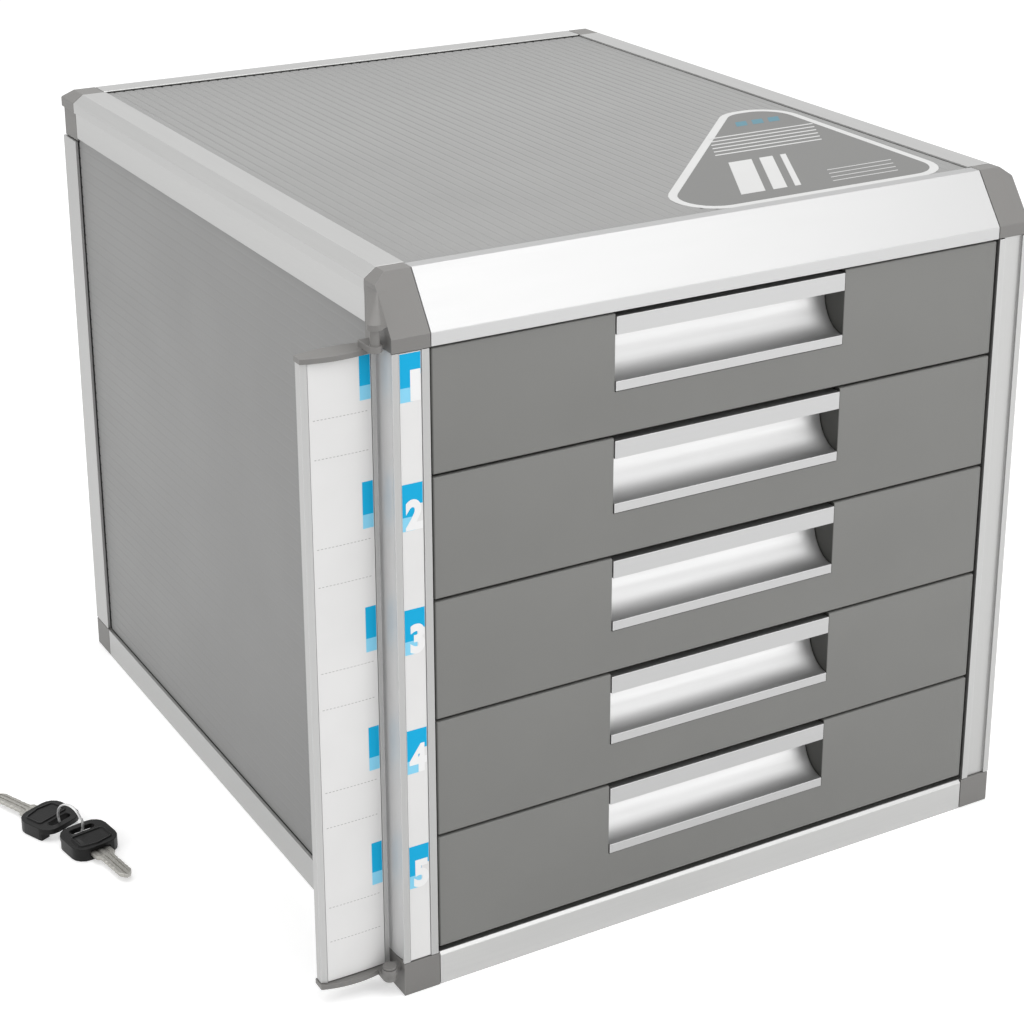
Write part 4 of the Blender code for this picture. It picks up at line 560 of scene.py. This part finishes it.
# %% Ribbed skins
RIB_PITCH = 4.87 * MM
GROOVE = 0.42 * MM
NOTCH = 0.8 * MM
BURIED = 0.15 * MM
FOOT_SHARE = 0.15
END_BEVEL = 0.35 * MM
RIB_SAMPLES = np.array([0, 0.04, 0.08, 0.12, 0.17, 0.26, 0.5, 0.74, 0.83, 0.88, 0.92, 0.96])


def closed_rings(name, rings, wrap=False):
    """One closed mesh from loops of points with the shape (loops, points, 3); the two end loops get a face
    each, or the last loop joins the first where wrap is set."""
    loops, points = rings.shape[:2]
    index = np.arange(loops * points).reshape(loops, points)
    here = index if wrap else index[:-1]
    after = np.roll(index, -1, axis=0) if wrap else index[1:]
    quads = np.stack([here, np.roll(here, -1, 1), np.roll(after, -1, 1), after], -1).reshape(-1, 4).tolist()
    if not wrap:
        quads += [index[0].tolist()[::-1], index[-1].tolist()]
    mesh = bpy.data.meshes.new(name)
    mesh.from_pydata(rings.reshape(-1, 3).tolist(), [], quads)
    work = bmesh.new()
    work.from_mesh(mesh)
    bmesh.ops.recalc_face_normals(work, faces=work.faces)
    work.to_mesh(mesh)
    work.free()
    return mesh


def ribbed_skin(name, low, high, start_of, end_of, relief, place):
    """A closed ribbed sheet: across runs from low to high, start_of and end_of give where each line begins
    and ends, and place turns the columns across, along and height into x, y and z."""
    ribs = round((high - low) / RIB_PITCH)
    phase = np.append((np.arange(ribs)[:, None] + RIB_SAMPLES).ravel(), ribs)
    across = low + (high - low) * phase / ribs
    distance = np.minimum(phase % 1, 1 - phase % 1) * RIB_PITCH
    dip = np.exp(-(distance / GROOVE) ** 2)
    height = relief * (1 - dip)
    start, end = start_of(across), end_of(across) - NOTCH * dip
    along = np.stack([start, start, start + END_BEVEL, end - END_BEVEL, end, end], 1)
    foot = np.full_like(height, relief * FOOT_SHARE)
    rise = np.stack([-BURIED + 0 * height, foot, np.maximum(height, foot), np.maximum(height, foot), foot,
                     -BURIED + 0 * height], 1)
    rings = place(np.repeat(across[:, None], 6, 1), along, rise)
    mesh = closed_rings(name, rings)
    mesh.materials.append(panel_plastic_painted_shade)
    mesh.shade_smooth()
    mesh.set_sharp_from_angle(angle=math.radians(50))
    skin = add_object(name, mesh)
    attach(skin, "cabinet")
    return skin


FRONT = low_high("post_front_left")[0][1]
BACK = low_high("post_back_left")[1][1]
LIP_FOOT, CROWN_FOOT, BASE_TOP = 271.6 * MM, 276.9 * MM, 14.5 * MM
BLOCK_FOOT = 275.5 * MM
POST_DEPTH, FRONT_BLOCK, BACK_BLOCK = 16.7 * MM, 21.6 * MM, 17.8 * MM
SIDE_X, TOP_Z, BACK_Y = 148.0 * MM, 296.8 * MM, BACK - 2.0 * MM
TOP_HALF, BACK_HALF = 133.9 * MM, 133.0 * MM
TOP_START, TOP_END = FRONT + 20.0 * MM, BACK - 17.3 * MM
SKIN_FOOT, SKIN_HEAD = BASE_TOP + 0.2 * MM, CROWN_FOOT - 0.2 * MM
TOP_RELIEF, SIDE_RELIEF = 0.30 * MM, 0.07 * MM


def side_start(height):
    """Where a side's ribs begin: behind the front post, and further back beside the top block."""
    return FRONT + np.where(height > LIP_FOOT - 0.2 * MM, FRONT_BLOCK, POST_DEPTH)


def side_end(height):
    """Where a side's ribs end: before the back post, and sooner beside the top block."""
    return BACK - 0.5 * MM - np.where(height > BLOCK_FOOT - 0.2 * MM, BACK_BLOCK, POST_DEPTH)


ribbed_skin("skin_top", -TOP_HALF, TOP_HALF,
            lambda x: np.full_like(x, TOP_START), lambda x: np.full_like(x, TOP_END), TOP_RELIEF,
            lambda u, v, h: np.stack([u, v, TOP_Z + h], -1))
for word, sign in (("left", -1), ("right", 1)):
    ribbed_skin("skin_" + word, SKIN_FOOT, SKIN_HEAD, side_start, side_end, SIDE_RELIEF,
                lambda u, v, h: np.stack([sign * (SIDE_X + h), v, u], -1))
ribbed_skin("skin_back", SKIN_FOOT, SKIN_HEAD,
            lambda z: np.full_like(z, -BACK_HALF), lambda z: np.full_like(z, BACK_HALF), SIDE_RELIEF,
            lambda u, v, h: np.stack([v, BACK_Y + h, u], -1))

# %% [markdown]
# ## Printed cards
# The number strip and the index card are white card with cyan blocks beside each drawer and dotted lines to
# write on. Each print is a closed film a few hundredths of a millimetre thick. It is made of columns of
# four points, front and back at its foot and its head, whose depth follows the front of the card's own
# solid.

# %% Papers and inks
paper = moulded("printed_card_paper", (0.76, 0.755, 0.75), (0.72, 0.72, 0.72), 0.5, 900.0, 0.00001, 0.1)
inks = [moulded(name, colour, colour, 0.45, 1200.0, 0.00001, 0.0, 0.2) for name, colour in (
    ("cyan_ink", (0.0, 0.40, 0.71)), ("pale_cyan_ink", (0.25, 0.645, 0.87)),
    ("white_ink", (0.86, 0.86, 0.86)), ("grey_ink", (0.36, 0.35, 0.35)))]
cyan_ink, pale_ink, white_ink, grey_ink = inks
repaint("number_strip", paper)
repaint("index_card", paper)
print("inks:", [ink.name for ink in inks])

# %% Films that follow a card
FILM, FILM_LIFT = 0.03 * MM, 0.04 * MM


def mesh_points(mesh):
    """The places of a mesh's vertices as an array."""
    points = np.empty(3 * len(mesh.vertices))
    mesh.vertices.foreach_get("co", points)
    return points.reshape(-1, 3)


def front_line(node):
    """The front edge of a card seen from above: its x places in order and the smallest y at each."""
    points = mesh_points(NODES[node].data)
    columns, member = np.unique(np.round(points[:, 0], 6), return_inverse=True)
    front = np.full(columns.size, np.inf)
    np.minimum.at(front, member, points[:, 1])
    return columns, front


def film(name, patches, line, lift, material, body):
    """Closed films on a card. Each patch is (low x, high x, low z, high z), lift is how far it stands out."""
    work = bmesh.new()
    for low_x, high_x, low_z, high_z in patches:
        across = np.linspace(low_x, high_x, 2 if high_x - low_x < MM else 6)
        front = np.interp(across, *line) - lift
        back = front + FILM
        rings = np.stack([
            np.stack([across, front, np.full_like(across, low_z)], 1),
            np.stack([across, front, np.full_like(across, high_z)], 1),
            np.stack([across, back, np.full_like(across, high_z)], 1),
            np.stack([across, back, np.full_like(across, low_z)], 1)], 1)
        patch = closed_rings("patch", rings)
        work.from_mesh(patch)
        bpy.data.meshes.remove(patch)
    mesh = bpy.data.meshes.new(name)
    work.to_mesh(mesh)
    work.free()
    mesh.materials.append(material)
    thing = add_object(name, mesh)
    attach(thing, body)
    return thing


BLOCK_WAIST, BLOCK_TALL, PALE_TALL = 8.5 * MM, 13.2 * MM, 5.6 * MM
CARD_BLOCK_WIDE = 4.5 * MM
LINE_DROPS = (23.3 * MM, 38.7 * MM)
DASH, DASH_STEP, DASH_TALL = 0.8 * MM, 1.5 * MM, 0.22 * MM
block_tops = [high[2] for low, high in front_boxes]
strip_line, card_line = front_line("number_strip"), front_line("index_card")
strip_top, card_top = strip_high[2] - 0.2 * MM, card_high[2] - 0.2 * MM
left, right = strip_low[0] + 0.15 * MM, strip_high[0] - 0.15 * MM
card_right = card_high[0] - 0.15 * MM
card_left = card_right - CARD_BLOCK_WIDE
column = left + 0.62 * (right - left)
film("strip_blocks",
     [(left, right, top - BLOCK_WAIST, min(top, strip_top)) for top in block_tops]
     + [(left, column, top - BLOCK_TALL, top - BLOCK_WAIST) for top in block_tops],
     strip_line, FILM_LIFT, cyan_ink, "cabinet")
film("strip_pale_blocks",
     [(left, column, top - BLOCK_TALL - PALE_TALL, top - BLOCK_TALL) for top in block_tops],
     strip_line, FILM_LIFT, pale_ink, "cabinet")
film("card_blocks", [(card_left, card_right, top - BLOCK_TALL, min(top, card_top)) for top in block_tops],
     card_line, FILM_LIFT, cyan_ink, "flap")
film("card_pale_blocks",
     [(card_left, card_right, top - BLOCK_TALL - PALE_TALL, top - BLOCK_TALL) for top in block_tops],
     card_line, FILM_LIFT, pale_ink, "flap")
dash_starts = np.arange(card_low[0] + 1.5 * MM, card_right - 1.5 * MM, DASH_STEP)
film("card_dotted_lines",
     [(x, x + DASH, top - drop, top - drop + DASH_TALL)
      for top in block_tops for drop in LINE_DROPS for x in dash_starts],
     card_line, FILM_LIFT, grey_ink, "flap")
print("dashes:", len(dash_starts) * len(LINE_DROPS) * DRAWERS)

# %% [markdown]
# The drawers are numbered from the top. Each numeral is plain text turned into a thin closed mesh, white on
# the lower right of its block.

# %% Numerals
NUMERAL_SIZE, NUMERAL_OFFSET, NUMERAL_LIFT = 15.5 * MM, 0.8 * MM, 0.07 * MM
NUMERAL_WIDTHS = (1.35, 0.86, 0.86, 0.86, 0.86)


def numeral(number, right_x, foot_z):
    """A plain upright numeral on the strip, with its right edge and its foot at the given places."""
    curve = bpy.data.curves.new("numeral", "FONT")
    curve.body = str(number)
    curve.size = NUMERAL_SIZE
    curve.offset = NUMERAL_OFFSET
    curve.extrude = FILM / 2
    curve.align_x = "RIGHT"
    holder = bpy.data.objects.new("numeral", curve)
    bpy.context.scene.collection.objects.link(holder)
    bpy.context.view_layer.update()
    mesh = bpy.data.meshes.new_from_object(holder.evaluated_get(bpy.context.evaluated_depsgraph_get()))
    bpy.data.objects.remove(holder)
    width = NUMERAL_WIDTHS[number - 1]
    outer = mesh_points(mesh)[:, 0].max() * width
    upright = Matrix(((width, 0, 0), (0, 0, -1), (0, 1, 0))).to_4x4()
    mesh.transform(Matrix.Translation((right_x - outer, strip_low[1] - NUMERAL_LIFT, foot_z)) @ upright)
    mesh.materials.clear()
    mesh.materials.append(white_ink)
    thing = add_object(f"numeral_{number}", mesh)
    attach(thing, "cabinet")
    return thing


for number, top in enumerate(block_tops, 1):
    numeral(number, right - 0.1 * MM, top - BLOCK_TALL - PALE_TALL + 0.9 * MM)

# %% [markdown]
# ## The label on top
# A generic sticker lies on the ribs at the front right: a white rim, a grey field, slanted white bars and a
# row of small blue-grey squares. Its outline has four sides and rounded corners: every corner is replaced
# by an arc of points centred where the two sides, moved inwards by the radius, meet.

# %% Sticker
STICKER_CORNERS = np.array([(-26.0, 14.0), (127.5, 14.0), (129.5, 146.0), (99.5, 146.0)]) * MM
STICKER_RADIUS, STICKER_RIM, STICKER_FILM = 18.0 * MM, 3.8 * MM, 0.05 * MM
STICKER_Z = 297.1 * MM


def rounded_outline(corners, inset, radius, steps=10):
    """Points round a polygon given anticlockwise, drawn in by an inset and with arcs at its corners."""
    before, after = corners - np.roll(corners, 1, 0), np.roll(corners, -1, 0) - corners
    before, after = (side / np.linalg.norm(side, axis=1)[:, None] for side in (before, after))
    turn = np.arctan2(before[:, 0] * after[:, 1] - before[:, 1] * after[:, 0], (before * after).sum(1))
    inward = np.stack([-before[:, 1], before[:, 0]], 1)
    reach = inset + radius
    centre = corners + reach * (inward + (np.tan(turn / 2))[:, None] * -before)
    start = np.arctan2(-inward[:, 1], -inward[:, 0])
    angles = start[:, None] + turn[:, None] * np.linspace(0, 1, steps)[None, :]
    arcs = centre[:, None, :] + radius * np.stack([np.cos(angles), np.sin(angles)], -1)
    return arcs.reshape(-1, 2)


def flat_film(name, outlines, low, high, material):
    """Closed flat films: every outline is drawn from the lower to the upper height."""
    work = bmesh.new()
    for outline in outlines:
        rings = np.stack([np.column_stack([outline, np.full(len(outline), z)]) for z in (low, high)])
        patch = closed_rings("patch", rings)
        work.from_mesh(patch)
        bpy.data.meshes.remove(patch)
    mesh = bpy.data.meshes.new(name)
    work.to_mesh(mesh)
    work.free()
    mesh.materials.append(material)
    thing = add_object(name, mesh)
    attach(thing, "cabinet")
    return thing


sticker_white, sticker_grey, sticker_blue = (
    moulded(name, colour, colour, 0.4, 900.0, 0.00001, 0.0, 0.3) for name, colour in (
        ("sticker_white", (0.60, 0.60, 0.595)), ("sticker_grey", (0.170, 0.170, 0.165)),
        ("sticker_blue", (0.075, 0.21, 0.27))))
flat_film("sticker_rim", [rounded_outline(STICKER_CORNERS, 0.0, STICKER_RADIUS)],
          STICKER_Z, STICKER_Z + STICKER_FILM, sticker_white)
inner_top = STICKER_Z + 2 * STICKER_FILM
flat_film("sticker_field", [rounded_outline(STICKER_CORNERS, STICKER_RIM, STICKER_RADIUS - STICKER_RIM)],
          STICKER_Z + STICKER_FILM, inner_top, sticker_grey)


def slanted_bar(low_y, high_y, low_x, high_x, lean=0.55):
    """Four corners of a bar whose sides lean to the right as y grows."""
    return np.array([(low_x + lean * low_y, low_y), (high_x + lean * low_y, low_y),
                     (high_x + lean * high_y, high_y), (low_x + lean * high_y, high_y)])


bars = [slanted_bar(28 * MM, 72 * MM, start * MM, (start + wide) * MM)
        for start, wide in ((12, 12), (28, 7), (39, 3))]
bars += [slanted_bar(y * MM, (y + 1.3) * MM, 7 * MM, 64 * MM) for y in (84, 89, 94, 99, 104, 109)]
bars += [slanted_bar(y * MM, (y + 0.7) * MM, 58 * MM, 92 * MM) for y in (26, 31, 36, 41)]
flat_film("sticker_bars", bars, inner_top, inner_top + STICKER_FILM / 2, sticker_white)
flat_film("sticker_squares", [slanted_bar(122 * MM, 129 * MM, x * MM, (x + 6) * MM) for x in (24, 33, 42)],
          inner_top, inner_top + STICKER_FILM / 2, sticker_blue)
print("sticker bars:", len(bars))

# %% [markdown]
# ## Keys and ring
# A blade is a profile along a path: twelve points across the top and the same below, with two grooves whose
# places scale with the half width. The half width follows the collar, shallow cuts and the round tip. A
# raised rim on each head is a small arch swept round a rounded outline. The ring is a wire that makes two
# turns.

# %% Key blades
KEY_PLACES = (((-231.4, 183.5), 1.98), ((-221.9, 159.5), -1.42))
BLADE_FROM, BLADE_TO, BLADE_MIDDLE = 4.5 * MM, 36.0 * MM, 3.0 * MM
SHARE_ACROSS = np.array([-1, -0.9, -0.52, -0.46, -0.22, -0.16, 0.16, 0.22, 0.46, 0.52, 0.9, 1])
HEIGHT_ACROSS = np.array([0.55, 0.95, 0.95, 0.45, 0.45, 0.95, 0.95, 0.45, 0.45, 0.95, 0.95, 0.55]) * MM


def key_to_world(points, place):
    """Turns points drawn with the blade along +X about Z, and moves them to the key's place."""
    (x, y), turn = place
    cos, sin = math.cos(turn), math.sin(turn)
    return np.stack([x * MM + cos * points[..., 0] - sin * points[..., 1],
                     y * MM + sin * points[..., 0] + cos * points[..., 1], points[..., 2]], -1)


def blade_half_width(along):
    """Collar 4.7 mm, stepping to 3.2 mm past it, five shallow cuts and an elliptic tip."""
    shoulder = np.interp(along / MM, [0, 15.4, 16.6, 40], [4.7, 4.7, 3.2, 3.1]) * MM
    cuts = sum(depth * np.exp(-((along / MM - middle) / 0.9) ** 2) * MM
               for middle, depth in ((19, 0.25), (22, 0.4), (25, 0.2), (28, 0.35), (31, 0.2)))
    tip = np.sqrt(np.clip((BLADE_TO - along) / (3.4 * MM), 0.06, 1))
    return (shoulder - cuts) * tip


for number, place in enumerate(KEY_PLACES, 1):
    along = np.concatenate([np.linspace(BLADE_FROM, 33 * MM, 90), np.linspace(33.2 * MM, BLADE_TO, 16)])
    half = blade_half_width(along)
    across = np.concatenate([SHARE_ACROSS, SHARE_ACROSS[::-1]])
    height = np.concatenate([HEIGHT_ACROSS, -HEIGHT_ACROSS[::-1]])
    rings = np.stack([np.repeat(along[:, None], across.size, 1), half[:, None] * across,
                      np.repeat((BLADE_MIDDLE + height)[None, :], along.size, 0)], -1)
    mesh = closed_rings(f"grooved_blade_{number}", key_to_world(rings, place))
    mesh.materials.append(key_metal)
    mesh.shade_smooth()
    mesh.set_sharp_from_angle(angle=math.radians(32))
    blade = add_object(f"grooved_blade_{number}", mesh)
    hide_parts(f"key_blade_{number}")
    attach(blade, "keys")
    rounded_copy(f"key_head_{number}", key_plastic, 0.0009, 3)

# %% Raised rims on the heads
RIM_CORNERS = np.array([(-2.6, -8.4), (7.6, -8.4), (9.2, 0.0), (7.6, 8.4), (-2.6, 8.4)]) * MM
ARCH = np.linspace(0, math.pi, 7)
for number, place in enumerate(KEY_PLACES, 1):
    inner, outer = (rounded_outline(RIM_CORNERS, inset, radius, 8)
                    for inset, radius in ((1.2 * MM, 1.0 * MM), (0.0, 2.2 * MM)))
    share = (1 + np.cos(ARCH)) / 2
    spots = inner[:, None, :] * (1 - share)[None, :, None] + outer[:, None, :] * share[None, :, None]
    rise = np.repeat((5.9 + 0.55 * np.sin(ARCH))[None, :] * MM, len(inner), 0)
    rings = key_to_world(np.concatenate([spots, rise[..., None]], -1), place)
    mesh = closed_rings(f"head_rim_{number}", rings, True)
    mesh.materials.append(key_plastic)
    mesh.shade_smooth()
    rim = add_object(f"head_rim_{number}", mesh)
    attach(rim, "keys")
print("rim points:", len(mesh.vertices), "each")

# %% Ring of two turns
ring_low, ring_high = low_high("key_ring")
ring_middle = (ring_low + ring_high) / 2
WIRE, RING_RADIUS = 0.42 * MM, (ring_high - ring_low)[2] / 2 - 0.55 * MM
slots = [key_to_world(np.array([-6.0 * MM, 0, 3.0 * MM]), place) for place in KEY_PLACES]
span = (slots[1] - slots[0]) / np.linalg.norm(slots[1] - slots[0])
flank = np.array([-span[1], span[0], 0.0])
turn = np.linspace(0.4, 0.4 + 4 * math.pi, 150)
outwards = np.cos(turn)[:, None] * span + np.sin(turn)[:, None] * np.array([0, 0, 1.0])
path = ring_middle + RING_RADIUS * outwards + np.linspace(-0.5, 0.5, turn.size)[:, None] * MM * flank
around = np.linspace(0, math.tau, 8, endpoint=False)
rings = path[:, None, :] + WIRE * (np.cos(around)[None, :, None] * outwards[:, None, :]
                                   + np.sin(around)[None, :, None] * flank[None, None, :])
mesh = closed_rings("ring_of_two_turns", rings)
mesh.materials.append(lock_metal)
mesh.shade_smooth()
mesh.set_sharp_from_angle(angle=math.radians(60))
ring = add_object("ring_of_two_turns", mesh)
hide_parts("key_ring")
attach(ring, "keys")
print("ring points:", len(mesh.vertices))
